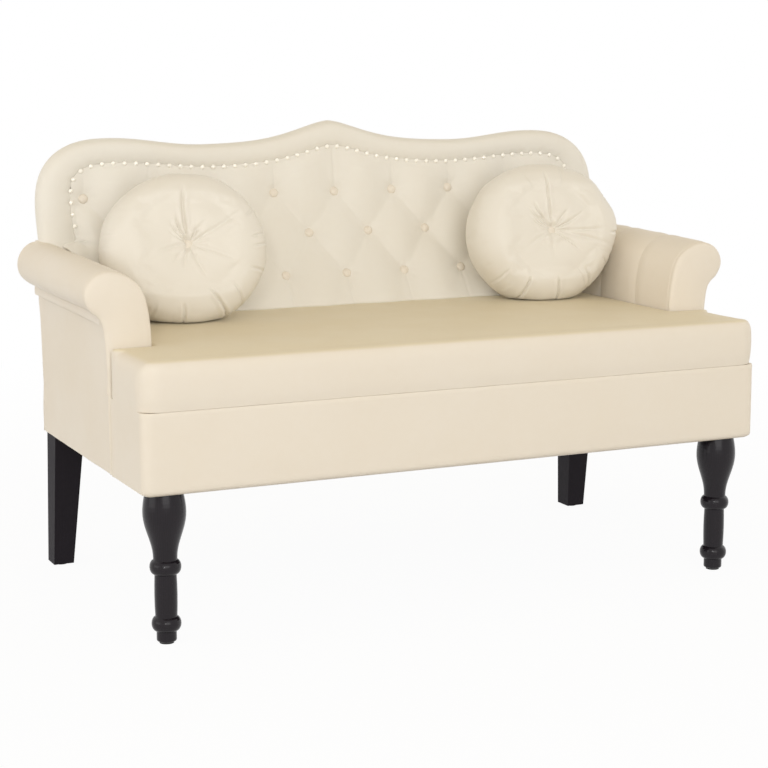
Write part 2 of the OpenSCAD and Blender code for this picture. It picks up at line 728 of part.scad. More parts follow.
module back_border() {
    last = half_n - 1;
    tip = [[0.84, nail_depth - 8]];
    color("antiquewhite") skin_fans(
        [for (k = [-last:last]) band_ring(k, band_section(k))],
        band_ring(-last, tip)[0], band_ring(last, tip)[0]);
}

// Nails stand along the inner edge of the band, by length of arc from its middle
function arc_steps(i) = i == 0 ? 0 : norm(inner_half[i] - inner_half[i - 1]) + arc_steps(i - 1);
nail_run = [for (i = [0:half_n - 1]) arc_steps(i)];
run_x = [for (i = [0:half_n - 1]) [nail_run[i], inner_half[i][0]]];
run_z = [for (i = [0:half_n - 1]) [nail_run[i], inner_half[i][1]]];

nail_shank_r = 0.4;
nail_lift = 1.2 + gap;
module nail() {
    ball_r = (nail_r * nail_r + nail_h * nail_h) / (2 * nail_h);
    rotate([90, 0, 0]) {
        intersection() {
            translate([0, 0, nail_h - ball_r]) sphere(r = ball_r);
            cylinder(r = nail_r * 2, h = nail_h * 2);
        }
        translate([0, 0, -nail_shank]) cylinder(r = nail_shank_r, h = nail_shank + nail_h / 2, $fn = 16);
    }
}

module nail_trim() {
    color("gold") for (s = [-1, 1], a = [nail_pitch / 2:nail_pitch:nail_run[half_n - 1] - nail_r]) {
        x = lookup(a, run_x);
        z = lookup(a, run_z);
        b = min(nail_run[half_n - 1], a + 1);
        dir = [lookup(b, run_x) - x, lookup(b, run_z) - z];
        out = [dir[1], -dir[0]] * seam_w / 2 / norm(dir);
        translate([s * (x + out[0]), back_y(z, nail_depth + nail_lift), z + out[1]]) nail();
    }
}

module back_post() {
    color("burlywood") difference() {
        intersection() {
            back_slab(post_in_x, wall_x, leg_h, peak_z, panel_t, frame_depth);
            along_y(box_front, box_rear + box_d) crest_outline(0.7, side_x, leg_h);
        }
        back_bolt_bores();
    }
}
module back_post_right() { back_post(); }
module back_post_left() { mirror([1, 0, 0]) back_post(); }

crest_rail_z = peak_z - valley_drop - crest_rail_h - 15;
module back_top_rail() {
    color("burlywood") intersection() {
        back_slab(-post_in_x, post_in_x, crest_rail_z, peak_z, panel_t, frame_depth);
        along_y(box_front, box_rear + box_d) crest_outline(0.7, side_x, leg_h);
    }
}

module back_low_rail() {
    z = seat_top + 8;
    color("burlywood") back_slab(-post_in_x, post_in_x, z, z + low_rail_h, panel_t, frame_depth);
}

module back_webbing() {
    z0 = seat_top + 8 + low_rail_h;
    step = (crest_rail_z - z0) / back_webs;
    color("dimgray") for (i = [0:back_webs - 1]) {
        z = z0 + (i + 0.5) * step;
        back_slab(-post_in_x - 20, post_in_x + 20, z - web_w / 2, z + web_w / 2, frame_depth, web_depth);
    }
}

// Two bolts hold each post to the rear rail, with their heads sunk in the post's rear
back_bolt_x = (post_in_x + wall_x) / 2 + 4;
back_bolt_l = frame_t + rail_t - 2;
head_t = 3;
module at_back_bolts() {
    for (s = [-1, 1], h = [0.5, 0.83]) {
        z = mix(leg_h, rail_top, h);
        translate([s * back_bolt_x, back_y(z, panel_t), z]) rotate([90 - back_lean, 0, 0]) children();
    }
}
module back_bolt_bores() {
    at_back_bolts() {
        translate([0, 0, -5]) cylinder(r = back_bolt_r + play, h = back_bolt_l + 5 + 1);
        translate([0, 0, -5]) cylinder(r = 2 * back_bolt_r + play, h = head_t + 5.5);
    }
}
module back_bolts() {
    color("silver") at_back_bolts() {
        translate([0, 0, 0.5]) cylinder(r = 2 * back_bolt_r, h = head_t);
        translate([0, 0, 1]) cylinder(r = back_bolt_r, h = back_bolt_l - 1);
    }
}

// The turned front leg as [radius, height over the glide]
bulb_top = 36;
bulb_l = 106;
ring_z = 30 - glide_t;
function bulb(h) =
    h < bulb_top ? mix(neck_r, bulb_r, sin(90 * h / bulb_top))
                 : mix(waist_r, bulb_r, (1 + cos(180 * (h - bulb_top) / (bulb_l - bulb_top))) / 2);
function bead(low, r, z, steps) = [for (i = [1:steps - 1]) let (a = 180 * i / steps - 90)
    [low + (r - low) * cos(a), z + bead_h * sin(a)]];
module front_leg() {
    h = leg_h - glide_t;
    bead_z = h - bulb_l - 2 - bead_h;
    shaft_l = bead_z - ring_z - 2 * bead_h;
    color("#2a2526") difference() {
        translate([front_bolt[0], front_bolt[1], glide_t]) rotate_extrude() polygon(concat(
            [[0, 0], [foot_r - 2, 0], [foot_r - 0.5, 1], [foot_r, 2.5]],
            [[foot_r, ring_z - bead_h]], bead(foot_r, ring_r, ring_z, 10),
            [for (t = [0:0.25:1]) [shaft_r + 0.8 * sin(180 * t), ring_z + bead_h + shaft_l * t]],
            bead(shaft_r, bead_r, bead_z, 10),
            [[waist_r, bead_z + bead_h]],
            [for (i = [0:18]) [bulb(bulb_l * (18 - i) / 18), h - bulb_l * (18 - i) / 18]],
            [[0, h]]));
        leg_top_bore(front_bolt);
        glide_bore(front_bolt);
    }
}
module front_leg_right() { front_leg(); }
module front_leg_left() { mirror([1, 0, 0]) front_leg(); }

module leg_top_bore(at) {
    translate([at[0], at[1], leg_h - leg_bolt_down - gap]) cylinder(r = bolt_bore_r, h = leg_bolt_l);
}

// A rear leg: square, tapered, upright on its outer face and raked back
rear_leg_x = side_x - rear_leg_in;
rear_foot = [rear_leg_x - rear_foot_w / 2, box_rear + rear_rake - rear_foot_d / 2];
module rear_leg() {
    color("#2a2526") difference() {
        intersection() {
            along_y(box_front, box_rear + box_d) polygon([
                [rear_leg_x - rear_foot_w, glide_t], [rear_leg_x, glide_t],
                [rear_leg_x, leg_h], [rear_leg_x - rear_top, leg_h]]);
            along_x(0, box_w) polygon([
                [box_rear + rear_rake - rear_foot_d, glide_t], [box_rear + rear_rake, glide_t],
                [box_rear, leg_h], [box_rear - rear_top, leg_h]]);
        }
        leg_top_bore(rear_bolt);
        glide_bore(rear_foot);
    }
}
module rear_leg_right() { rear_leg(); }
module rear_leg_left() { mirror([1, 0, 0]) rear_leg(); }

module leg_bolts() {
    color("silver") for (s = [-1, 1], b = [front_bolt, rear_bolt])
        translate([s * b[0], b[1], leg_h - leg_bolt_down]) cylinder(r = leg_bolt_r, h = leg_bolt_l);
}

module leg_inserts() {
    color("goldenrod") for (s = [-1, 1], b = [front_bolt, rear_bolt])
        translate([s * b[0], b[1], leg_h + play]) difference() {
            cylinder(r = insert_r, h = insert_l);
            translate([0, 0, -1]) cylinder(r = bolt_bore_r, h = insert_l + 2);
        }
}

glide_pin_r = 1.5;
glide_pin_l = 12;
module glide_bore(at) {
    translate([at[0], at[1], 0]) cylinder(r = glide_pin_r + play, h = glide_t + glide_pin_l + gap, $fn = 24);
}
module leg_glides() {
    color("dimgray") for (s = [-1, 1], f = [front_bolt, rear_foot]) translate([s * f[0], f[1], 0]) {
        cylinder(r = glide_r, h = glide_t);
        cylinder(r = glide_pin_r, h = glide_t + glide_pin_l, $fn = 24);
    }
}

// A round pillow: domed faces drawn in at the middle, gathered rim, flattened where it rests
pillow_r = pillow_w / 2;
pillow_z = rest_z + pillow_r * pillow_settle - pillow_press;
right_y = back_y(pillow_z, base_depth(0, pillow_z) + puff_h) - pillow_t / 2 - pillow_back_gap;
left_y = right_y - left_forward;
right_x = arm_x + right_reach - pillow_r;
left_x = pillow_r - arm_x - left_reach;
spokes = 40;
function pillow_half(r) = pillow_t / 2 * pow(1 - pow(r, 2.8), 1 / 2.8)
    - pillow_pull * exp(-pow(r / 0.21, 2));
// A point of a pillow that stands at [x, y]: share of its radius, spoke, +1 for its front or -1 for its rear
function pillow_point(at, tilt, turn, r, j, side) =
    let (a = 360 * j / spokes, crease = j % 2 == 0 ? 0 : 1 - 0.035 * exp(-pow((r - 0.92) / 0.16, 2))
            - 0.03 * exp(-pow((r - 0.3) / 0.15, 2)),
         k = j % 2 == 0 ? 1 : crease, d = side * pillow_half(r) * k,
         u = pillow_r * r * (r > 0.8 ? k : 1) * cos(a), v = pillow_r * pillow_settle * r * sin(a),
         w = v * sin(tilt) - d * cos(tilt))
    [at[0] + u * cos(turn) + w * sin(turn), at[1] - u * sin(turn) + w * cos(turn),
        max(rest_z, pillow_z + d * sin(tilt) + v * cos(tilt))];
pillow_radii = [0.08, 0.2, 0.36, 0.54, 0.72, 0.86, 0.95];

module pillow(at, tilt, turn) {
    front = [for (r = pillow_radii) [for (j = [0:spokes - 1]) pillow_point(at, tilt, turn, r, j, 1)]];
    rim = [[for (j = [0:spokes - 1]) pillow_point(at, tilt, turn, 1, j, 1)]];
    rear = [for (i = [len(pillow_radii) - 1:-1:0])
        [for (j = [0:spokes - 1]) pillow_point(at, tilt, turn, pillow_radii[i], j, -1)]];
    rings = [for (r = concat(front, rim, rear)) [for (i = [spokes - 1:-1:0]) r[i]]];
    skin_fans(rings, pillow_point(at, tilt, turn, 0, 0, 1), pillow_point(at, tilt, turn, 0, 0, -1));
}
module pillow_right() { color("antiquewhite") pillow([right_x, right_y], right_lean, right_turn); }
module pillow_left() { color("antiquewhite") pillow([left_x, left_y], left_lean, left_turn); }

// The covered buttons of a pillow, one on each face
module pillow_buttons(at, tilt, turn) {
    pull = pillow_half(0.08) - pillow_half(0) + 1.5;
    for (s = [0, 180]) translate([at[0], at[1], pillow_z]) rotate([90 - tilt + s, 0, -turn])
        translate([0, 0, pillow_half(0) + gap]) button(pull);
}
module pillow_buttons_right() { color("wheat") pillow_buttons([right_x, right_y], right_lean, right_turn); }
module pillow_buttons_left() { color("wheat") pillow_buttons([left_x, left_y], left_lean, left_turn); }

front_rail();
rear_rail();
side_rail_left();
side_rail_right();
centre_stretcher();
corner_blocks();
seat_webbing();
dust_cover();
front_apron();
apron_corner_left();
apron_corner_right();
side_panel_left();
side_panel_right();
back_rear_panel();
arm_pad_left();
arm_pad_right();
arm_frame_left();
arm_frame_right();
arm_dowels();
arm_front_panel_left();
arm_front_panel_right();
seat_pad();
tufted_pad();
back_buttons();
back_border();
nail_trim();
back_post_left();
back_post_right();
back_top_rail();
back_low_rail();
back_webbing();
back_bolts();
front_leg_left();
front_leg_right();
rear_leg_left();
rear_leg_right();
leg_bolts();
leg_inserts();
leg_glides();
pillow_left();
pillow_right();
pillow_buttons_left();
pillow_buttons_right();
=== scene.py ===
import math
from bisect import bisect_right
from random import Random

import bmesh
import bpy
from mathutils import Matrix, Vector, kdtree, noise
from mathutils.bvhtree import BVHTree


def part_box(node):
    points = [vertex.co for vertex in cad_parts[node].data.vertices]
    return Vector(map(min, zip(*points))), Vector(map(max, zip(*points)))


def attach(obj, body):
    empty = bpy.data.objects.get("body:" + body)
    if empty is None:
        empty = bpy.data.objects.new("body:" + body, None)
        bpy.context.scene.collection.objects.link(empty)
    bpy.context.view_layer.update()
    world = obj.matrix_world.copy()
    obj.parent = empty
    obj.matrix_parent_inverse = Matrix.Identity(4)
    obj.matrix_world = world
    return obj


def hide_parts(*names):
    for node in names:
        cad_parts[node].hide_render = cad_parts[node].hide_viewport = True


bl_info = {
    "name": "Padded Bench Covers",
    "version": (1, 0, 0),
    "blender": (4, 5, 0),
    "location": "3D View > Sidebar > Bench",
    "description": "Covers, buttons, pillows, finishes and a plain stage for a small tufted bench",
    "category": "Object",
}

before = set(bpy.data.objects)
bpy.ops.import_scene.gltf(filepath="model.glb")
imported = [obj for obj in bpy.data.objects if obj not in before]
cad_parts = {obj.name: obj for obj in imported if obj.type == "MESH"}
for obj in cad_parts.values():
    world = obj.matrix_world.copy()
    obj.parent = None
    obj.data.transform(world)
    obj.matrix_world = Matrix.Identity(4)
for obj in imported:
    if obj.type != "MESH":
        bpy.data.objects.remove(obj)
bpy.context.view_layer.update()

MM = 0.001
BENCH = "bench"


def cad(node, end, axis):
    """One side of a node's box, in millimetres."""
    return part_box(node)[end][axis] / MM


# Lines of the bench that the covers share, in millimetres
LEAN = math.tan(math.radians(4.2))
SIDE_X = cad("side_panel_right", 1, 0)
LEG_H = cad("front_apron", 0, 2)
SEAM_Z = cad("front_apron", 1, 2)
SEAT_Z = cad("tufted_pad", 0, 2)
CROWN_Z = cad("seat_pad", 1, 2)
BOX_FRONT = cad("front_apron", 0, 1)
PEAK_Z = cad("back_border", 1, 2)
BOX_REAR = cad("back_rear_panel", 1, 1) - (PEAK_Z - LEG_H) * LEAN
ARM_Y = cad("arm_front_panel_right", 0, 1)
ARM_PAD_Y = cad("arm_pad_right", 0, 1)
ARM_X = cad("arm_pad_right", 0, 0)
ARM_END_Z = cad("side_panel_right", 1, 2)
SIDE_SEAM_Y = cad("side_panel_right", 0, 1)
SEAT_REAR_Y = cad("seat_pad", 1, 1)
PANEL_T = 10
PAD_DEPTH = 30.8
NAIL_DEPTH = 45
FOOT_DEPTH = 124
BUTTON_STEP = 114
ROW_GAP = 70
CORNER_R = 16
SEAT_CORNER_R = 30
RIM_H = 75.4
VALLEY_X = 237
LOBE_X = 404

# Rows of buttons below the top one, and buttons on each side of the middle one in the long rows
ROWS_DOWN = 2
BUTTONS_OUT = 4
TOP_ROW_Z = SEAT_Z + 55 + ROWS_DOWN * ROW_GAP


def back_y(z, depth):
    """Y of a point of the leaning back, the given depth in front of its rear face."""
    return BOX_REAR + (z - LEG_H) * LEAN - depth


def mix(a, b, t):
    return a + (b - a) * t


def clamp(a, low=0.0, high=1.0):
    return max(low, min(high, a))


def smooth(a, low, high):
    """0 below low, 1 above high, and an even S between them."""
    t = clamp((a - low) / (high - low))
    return t * t * (3 - 2 * t)


def bell(d, width):
    return math.exp(-(d / width) ** 2)


def ripple(x, y, z, size, seed=0):
    """Soft undulation between -1 and 1 with the given wavelength in millimetres."""
    return noise.noise(Vector((x / size + seed, y / size - seed, z / size + 2 * seed)))


class Path:
    """A smooth line through 2-D points, walked by the share of its length."""

    def __init__(self, points, closed=False, curved=True, steps=12):
        points = [Vector(p) for p in points]
        count = len(points)
        self.closed = closed
        self.line = []
        for i in range(count if closed else count - 1):
            a, b, c, d = (
                points[(i + k) % count] if closed else points[int(clamp(i + k, 0, count - 1))]
                for k in (-1, 0, 1, 2)
            )
            for j in range(steps):
                t = j / steps
                if curved:
                    p = (2 * b + (c - a) * t + (2 * a - 5 * b + 4 * c - d) * t ** 2
                         + (3 * b - a - 3 * c + d) * t ** 3) / 2
                else:
                    p = b.lerp(c, t)
                self.line.append(p)
        self.line.append(points[0] if closed else points[-1])
        self.run = [0.0]
        for p, q in zip(self.line, self.line[1:]):
            self.run.append(self.run[-1] + (q - p).length)
        self.length = self.run[-1]
        turned = zip(self.line, self.line[1:] + self.line[:1])
        self.side = 1 if sum(p.cross(q) for p, q in turned) > 0 else -1

    def at(self, share):
        share = share % 1 if self.closed else clamp(share)
        d = share * self.length
        i = min(bisect_right(self.run, d), len(self.run) - 1)
        span = self.run[i] - self.run[i - 1]
        return self.line[i - 1].lerp(self.line[i], (d - self.run[i - 1]) / span if span else 0)

    def outward(self, share):
        """The unit normal that points out of the form that the path goes round."""
        step = 1.5 / self.length
        along = self.at(share + step) - self.at(share - step)
        return Vector((along[1], -along[0])).normalized() * self.side


def arc(cx, cy, r, start, end, steps):
    """Points of a corner, angles in degrees."""
    angles = [math.radians(mix(start, end, i / steps)) for i in range(steps + 1)]
    return [(cx + r * math.cos(a), cy + r * math.sin(a)) for a in angles]


# ---------------------------------------------------------------- meshes


def bent_grid(bm, nu, nv, place):
    """A grid whose points go where place(u, v) says, in millimetres; meeting edges are merged."""
    made = bmesh.ops.create_grid(bm, x_segments=nu, y_segments=nv, size=0.5)["verts"]
    for v in made:
        v.co = Vector(place(v.co.x + 0.5, v.co.y + 0.5)) * MM
    bmesh.ops.remove_doubles(bm, verts=made, dist=0.02 * MM)


def close_holes(bm):
    rims = [e for e in bm.edges if e.is_boundary]
    if rims:
        bmesh.ops.holes_fill(bm, edges=rims, sides=0)


def close_flat(bm, cell, axes, chosen, shape):
    """Closes the flat hole that chosen(point) picks and cuts it into cells.

    Their points go to shape(point, d), where d is the distance from the hole's rim.
    """
    rims = [e for e in bm.edges if e.is_boundary and chosen(e.verts[0].co / MM)]
    rim_points = {v for e in rims for v in e.verts}
    near = kdtree.KDTree(len(rim_points))
    for i, v in enumerate(rim_points):
        near.insert(v.co, i)
    near.balance()
    faces = bmesh.ops.holes_fill(bm, edges=rims, sides=0)["faces"]
    cells = faces + [e for f in faces for e in f.edges] + list(rim_points)
    for axis in axes:
        low = min(v.co[axis] for v in rim_points)
        high = max(v.co[axis] for v in rim_points)
        count = round((high - low) / cell / MM)
        along = Vector([float(i == axis) for i in range(3)])
        for i in range(1, count):
            cells = bmesh.ops.bisect_plane(
                bm, geom=cells, plane_co=along * mix(low, high, i / count), plane_no=along,
                dist=0.001 * MM)["geom"]
    found = {v for v in cells if isinstance(v, bmesh.types.BMVert)} | rim_points
    bmesh.ops.remove_doubles(bm, verts=list(found), dist=0.5 * MM)
    for v in [v for v in found if v.is_valid]:
        d = near.find(v.co)[2] / MM
        v.co = Vector(shape(v.co / MM, d)) * MM


def back_up(bm, behind):
    """Gives an open sheet a rear: its rim goes to behind(point) and the hole there is filled."""
    rims = [e for e in bm.edges if e.is_boundary]
    made = bmesh.ops.extrude_edge_only(bm, edges=rims)["geom"]
    for v in made:
        if isinstance(v, bmesh.types.BMVert):
            v.co = Vector(behind(v.co / MM)) * MM
    close_holes(bm)


def finish_mesh(name, bm, material, body=BENCH, replaces=(), sharp=50):
    """Turns a bmesh into a named piece that rides on a body and stands for CAD nodes."""
    bmesh.ops.recalc_face_normals(bm, faces=bm.faces)
    for f in bm.faces:
        f.smooth = True
    for e in bm.edges:
        if len(e.link_faces) == 2 and e.calc_face_angle(0) > math.radians(sharp):
            e.smooth = False
    mesh = bpy.data.meshes.new(name)
    bm.to_mesh(mesh)
    bm.free()
    mesh.materials.append(material)
    piece = bpy.data.objects.new(name, mesh)
    bpy.context.scene.collection.objects.link(piece)
    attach(piece, body)
    if replaces:
        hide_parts(*replaces)
    return piece


def push_out(bm, amount):
    """Moves each point along its normal by amount(x, y, z) millimetres."""
    bmesh.ops.recalc_face_normals(bm, faces=bm.faces)
    bm.normal_update()
    moves = [(v, v.normal * amount(*(v.co / MM)) * MM) for v in bm.verts]
    for v, move in moves:
        v.co += move


def handed(bm, side):
    """Turns a right-hand piece into the left-hand one if side is -1, and names the hand."""
    if side > 0:
        return "right"
    bmesh.ops.scale(bm, vec=(-1, 1, 1), verts=bm.verts)
    bmesh.ops.reverse_faces(bm, faces=bm.faces)
    return "left"


def inflate(bm, voxel, pressure, cap, held, slack=0.0):
    """Blows a copy of a padded form up as cloth and moves the form's own points onto the result.

    The copy is remeshed evenly, held(point) picks the points that stay, and no point moves
    further than cap. Lengths are in millimetres; slack is how much longer the cloth is than
    the form, as a share.
    """
    scene = bpy.context.scene
    mesh = bpy.data.meshes.new("inflated")
    bm.to_mesh(mesh)
    pad = bpy.data.objects.new("inflated", mesh)
    scene.collection.objects.link(pad)

    def applied():
        shown = pad.evaluated_get(bpy.context.evaluated_depsgraph_get())
        result = bpy.data.meshes.new_from_object(shown)
        pad.modifiers.clear()
        pad.data = result

    remesh = pad.modifiers.new("even", "REMESH")
    remesh.mode = "VOXEL"
    remesh.voxel_size = voxel * MM
    applied()
    start = [v.co.copy() for v in pad.data.vertices]
    pins = pad.vertex_groups.new(name="held")
    pins.add([i for i, co in enumerate(start) if held(co / MM)], 1.0, "REPLACE")
    cloth = pad.modifiers.new("cloth", "CLOTH")
    cloth.settings.quality = 5
    cloth.settings.mass = 0.3
    cloth.settings.tension_stiffness = 15
    cloth.settings.compression_stiffness = 15
    cloth.settings.shear_stiffness = 5
    cloth.settings.bending_stiffness = 0.5
    cloth.settings.use_pressure = True
    cloth.settings.uniform_pressure_force = pressure
    cloth.settings.shrink_min = -slack
    cloth.settings.vertex_group_mass = pins.name
    cloth.settings.effector_weights.gravity = 0
    frames = 20
    cloth.point_cache.frame_start = 1
    cloth.point_cache.frame_end = frames
    for f in range(1, frames + 1):
        scene.frame_set(f)
    applied()
    scene.frame_set(1)
    for v, before in zip(pad.data.vertices, start):
        move = v.co - before
        if move.length > cap * MM:
            v.co = before + move * (cap * MM / move.length)
    rounded = pad.modifiers.new("rounded", "SUBSURF")
    rounded.levels = rounded.render_levels = 1
    applied()
    blown = bmesh.new()
    blown.from_mesh(pad.data)
    tree = BVHTree.FromBMesh(blown)
    blown.free()
    bpy.data.objects.remove(pad)

    reach = (cap + 4) * MM
    bmesh.ops.recalc_face_normals(bm, faces=bm.faces)
    bm.normal_update()
    places = []
    for v in bm.verts:
        hit = tree.ray_cast(v.co - v.normal * reach, v.normal, 2 * reach)[0]
        places.append(hit or tree.find_nearest(v.co)[0])
    for v, place in zip(bm.verts, places):
        v.co = place


# ---------------------------------------------------------------- materials


def node_group(name, inputs, outputs, build):
    """A shader group with named sockets; build(nodes, links, inside, outside) fills it."""
    if name in bpy.data.node_groups:
        return bpy.data.node_groups[name]
    group = bpy.data.node_groups.new(name, "ShaderNodeTree")
    for label, kind, value in inputs:
        socket = group.interface.new_socket(name=label, in_out="INPUT", socket_type=kind)
        if value is not None:
            socket.default_value = value
    for label, kind in outputs:
        group.interface.new_socket(name=label, in_out="OUTPUT", socket_type=kind)
    inside = group.nodes.new("NodeGroupInput")
    outside = group.nodes.new("NodeGroupOutput")
    build(group.nodes, group.links, inside, outside)
    return group


def add(nodes, kind, **values):
    """A node with its properties, or its inputs by name, set."""
    node = nodes.new(kind)
    for key, value in values.items():
        if hasattr(node, key):
            setattr(node, key, value)
        else:
            node.inputs[key.replace("_", " ")].default_value = value
    return node


def maths(nodes, links, operation, a, b=None, c=None):
    """One sum of numbers and sockets."""
    node = nodes.new("ShaderNodeMath")
    node.operation = operation
    for socket, value in zip(node.inputs, (a, b, c)):
        if value is None:
            continue
        if isinstance(value, (int, float)):
            socket.default_value = value
        else:
            links.new(value, socket)
    return node.outputs[0]


def spread(nodes, links, value, low, high, to_low=0.0, to_high=1.0):
    """Carries a value from the span low to high over to the span to_low to to_high."""
    node = nodes.new("ShaderNodeMapRange")
    links.new(value, node.inputs["Value"])
    ends = {"From Min": low, "From Max": high, "To Min": to_low, "To Max": to_high}
    for key, number in ends.items():
        node.inputs[key].default_value = number
    return node.outputs[0]


def build_grain(nodes, links, inside, outside):
    """Pebbled leather: small cells with soft creases between them, over a slow swell."""
    cells = add(nodes, "ShaderNodeTexVoronoi", feature="SMOOTH_F1", Smoothness=0.6)
    warp = add(nodes, "ShaderNodeTexNoise", Detail=2.0)
    links.new(inside.outputs["Place"], warp.inputs["Vector"])
    warp_scale = maths(nodes, links, "MULTIPLY", inside.outputs["Grain"], 0.35)
    links.new(warp_scale, warp.inputs["Scale"])
    moved = add(nodes, "ShaderNodeVectorMath", operation="MULTIPLY_ADD")
    links.new(warp.outputs["Color"], moved.inputs[0])
    moved.inputs[1].default_value = (0.0009, 0.0009, 0.0009)
    links.new(inside.outputs["Place"], moved.inputs[2])
    links.new(moved.outputs[0], cells.inputs["Vector"])
    links.new(inside.outputs["Grain"], cells.inputs["Scale"])
    slow = add(nodes, "ShaderNodeTexNoise", Scale=38.0, Detail=3.0)
    links.new(inside.outputs["Place"], slow.inputs["Vector"])
    pebble = spread(nodes, links, cells.outputs["Distance"], 0.05, 0.75, 1.0, 0.0)
    deep = maths(nodes, links, "MULTIPLY", pebble, inside.outputs["Pebble"])
    swell = maths(nodes, links, "MULTIPLY", slow.outputs["Fac"], inside.outputs["Swell"])
    links.new(maths(nodes, links, "ADD", deep, swell), outside.inputs["Height"])


def build_tone(nodes, links, inside, outside):
    """Slow mottling of one colour towards another, with fine specks."""
    broad = add(nodes, "ShaderNodeTexNoise", Scale=7.0, Detail=4.0, Roughness=0.55)
    fine = add(nodes, "ShaderNodeTexNoise", Scale=85.0, Detail=2.0)
    for texture in (broad, fine):
        links.new(inside.outputs["Place"], texture.inputs["Vector"])
    patch = spread(nodes, links, broad.outputs["Fac"], 0.35, 0.68)
    speck = spread(nodes, links, fine.outputs["Fac"], 0.3, 0.7)
    share = maths(nodes, links, "MULTIPLY_ADD", speck, 0.35,
                  maths(nodes, links, "MULTIPLY", patch, 0.65))
    blend = add(nodes, "ShaderNodeMix", data_type="RGBA")
    links.new(maths(nodes, links, "MULTIPLY", share, inside.outputs["Amount"]),
              blend.inputs["Factor"])
    links.new(inside.outputs["Colour"], blend.inputs[6])
    links.new(inside.outputs["Worn"], blend.inputs[7])
    links.new(blend.outputs[2], outside.inputs["Colour"])
    links.new(patch, outside.inputs["Patches"])


def build_fibre(nodes, links, inside, outside):
    """Long wood fibres along one axis, with growth rings."""
    stretch = add(nodes, "ShaderNodeVectorMath", operation="MULTIPLY")
    links.new(inside.outputs["Place"], stretch.inputs[0])
    links.new(inside.outputs["Stretch"], stretch.inputs[1])
    fibre = add(nodes, "ShaderNodeTexNoise", Scale=60.0, Detail=5.0, Roughness=0.6)
    rings = add(nodes, "ShaderNodeTexWave", Scale=9.0, Distortion=7.0, Detail=3.0)
    for texture in (fibre, rings):
        links.new(stretch.outputs[0], texture.inputs["Vector"])
    share = maths(nodes, links, "MULTIPLY_ADD", rings.outputs["Fac"], 0.45,
                  maths(nodes, links, "MULTIPLY", fibre.outputs["Fac"], 0.55))
    blend = add(nodes, "ShaderNodeMix", data_type="RGBA")
    links.new(share, blend.inputs["Factor"])
    links.new(inside.outputs["Light"], blend.inputs[6])
    links.new(inside.outputs["Dark"], blend.inputs[7])
    links.new(blend.outputs[2], outside.inputs["Colour"])
    links.new(fibre.outputs["Fac"], outside.inputs["Height"])


def build_weave(nodes, links, inside, outside):
    """Crossed threads, as in webbing and dust cloth."""
    waves = []
    for direction in ("X", "Y"):
        wave = add(nodes, "ShaderNodeTexWave", bands_direction=direction, Distortion=0.6,
                   Detail=1.0)
        links.new(inside.outputs["Place"], wave.inputs["Vector"])
        links.new(inside.outputs["Threads"], wave.inputs["Scale"])
        waves.append(wave.outputs["Fac"])
    links.new(maths(nodes, links, "MULTIPLY", *waves), outside.inputs["Height"])


COLOUR, VALUE, VECTOR = "NodeSocketColor", "NodeSocketFloat", "NodeSocketVector"
PLACE = ("Place", VECTOR, None)


def groups():
    """The shader groups by a short name, each built the first time that it is asked for."""
    return {
        "grain": node_group(
            "Leather grain",
            [PLACE, ("Grain", VALUE, 700.0), ("Pebble", VALUE, 1.0), ("Swell", VALUE, 1.0)],
            [("Height", VALUE)], build_grain),
        "tone": node_group(
            "Mottled colour",
            [PLACE, ("Colour", COLOUR, None), ("Worn", COLOUR, None), ("Amount", VALUE, 1.0)],
            [("Colour", COLOUR), ("Patches", VALUE)], build_tone),
        "fibre": node_group(
            "Wood fibre",
            [PLACE, ("Stretch", VECTOR, None), ("Light", COLOUR, None), ("Dark", COLOUR, None)],
            [("Colour", COLOUR), ("Height", VALUE)], build_fibre),
        "weave": node_group(
            "Crossed weave", [PLACE, ("Threads", VALUE, 400.0)],
            [("Height", VALUE)], build_weave),
    }


def made_once(make):
    """Lets make(name, ...) run once for each name; after that it gives what was made then."""
    def get(name, *values, **settings):
        return bpy.data.materials.get(name) or make(name, *values, **settings)
    return get


def new_material(name, **shader_values):
    """A material with a shader, object coordinates and a bump ready to use."""
    material = bpy.data.materials.new(name)
    material.use_nodes = True
    nodes, links = material.node_tree.nodes, material.node_tree.links
    shader = nodes["Principled BSDF"]
    for key, value in shader_values.items():
        shader.inputs[key.replace("_", " ")].default_value = value
    place = nodes.new("ShaderNodeTexCoord").outputs["Object"]
    bump = nodes.new("ShaderNodeBump")
    links.new(bump.outputs["Normal"], shader.inputs["Normal"])
    return material, nodes, links, shader, place, bump


def use_group(nodes, links, key, place, **values):
    """Puts a shader group to use, with its other inputs by name."""
    node = nodes.new("ShaderNodeGroup")
    node.node_tree = groups()[key]
    links.new(place, node.inputs["Place"])
    for label, value in values.items():
        node.inputs[label.replace("_", " ")].default_value = value
    return node


@made_once
def leather(name, colour, worn, grain=620.0, bump_mm=0.05):
    """Cream faux leather: mottled colour, pebbled grain and an uneven soft sheen."""
    material, nodes, links, shader, place, bump = new_material(
        name, Specular_IOR_Level=0.27, Sheen_Weight=0.04, Sheen_Roughness=0.4)
    tone = use_group(nodes, links, "tone", place, Colour=colour, Worn=worn, Amount=0.75)
    skin = use_group(nodes, links, "grain", place, Grain=grain, Pebble=1.0, Swell=2.0)
    links.new(tone.outputs["Colour"], shader.inputs["Base Color"])
    links.new(spread(nodes, links, tone.outputs["Patches"], 0, 1, 0.40, 0.54),
              shader.inputs["Roughness"])
    bump.inputs["Strength"].default_value = 0.5
    bump.inputs["Distance"].default_value = bump_mm * MM
    links.new(skin.outputs["Height"], bump.inputs["Height"])
    return material


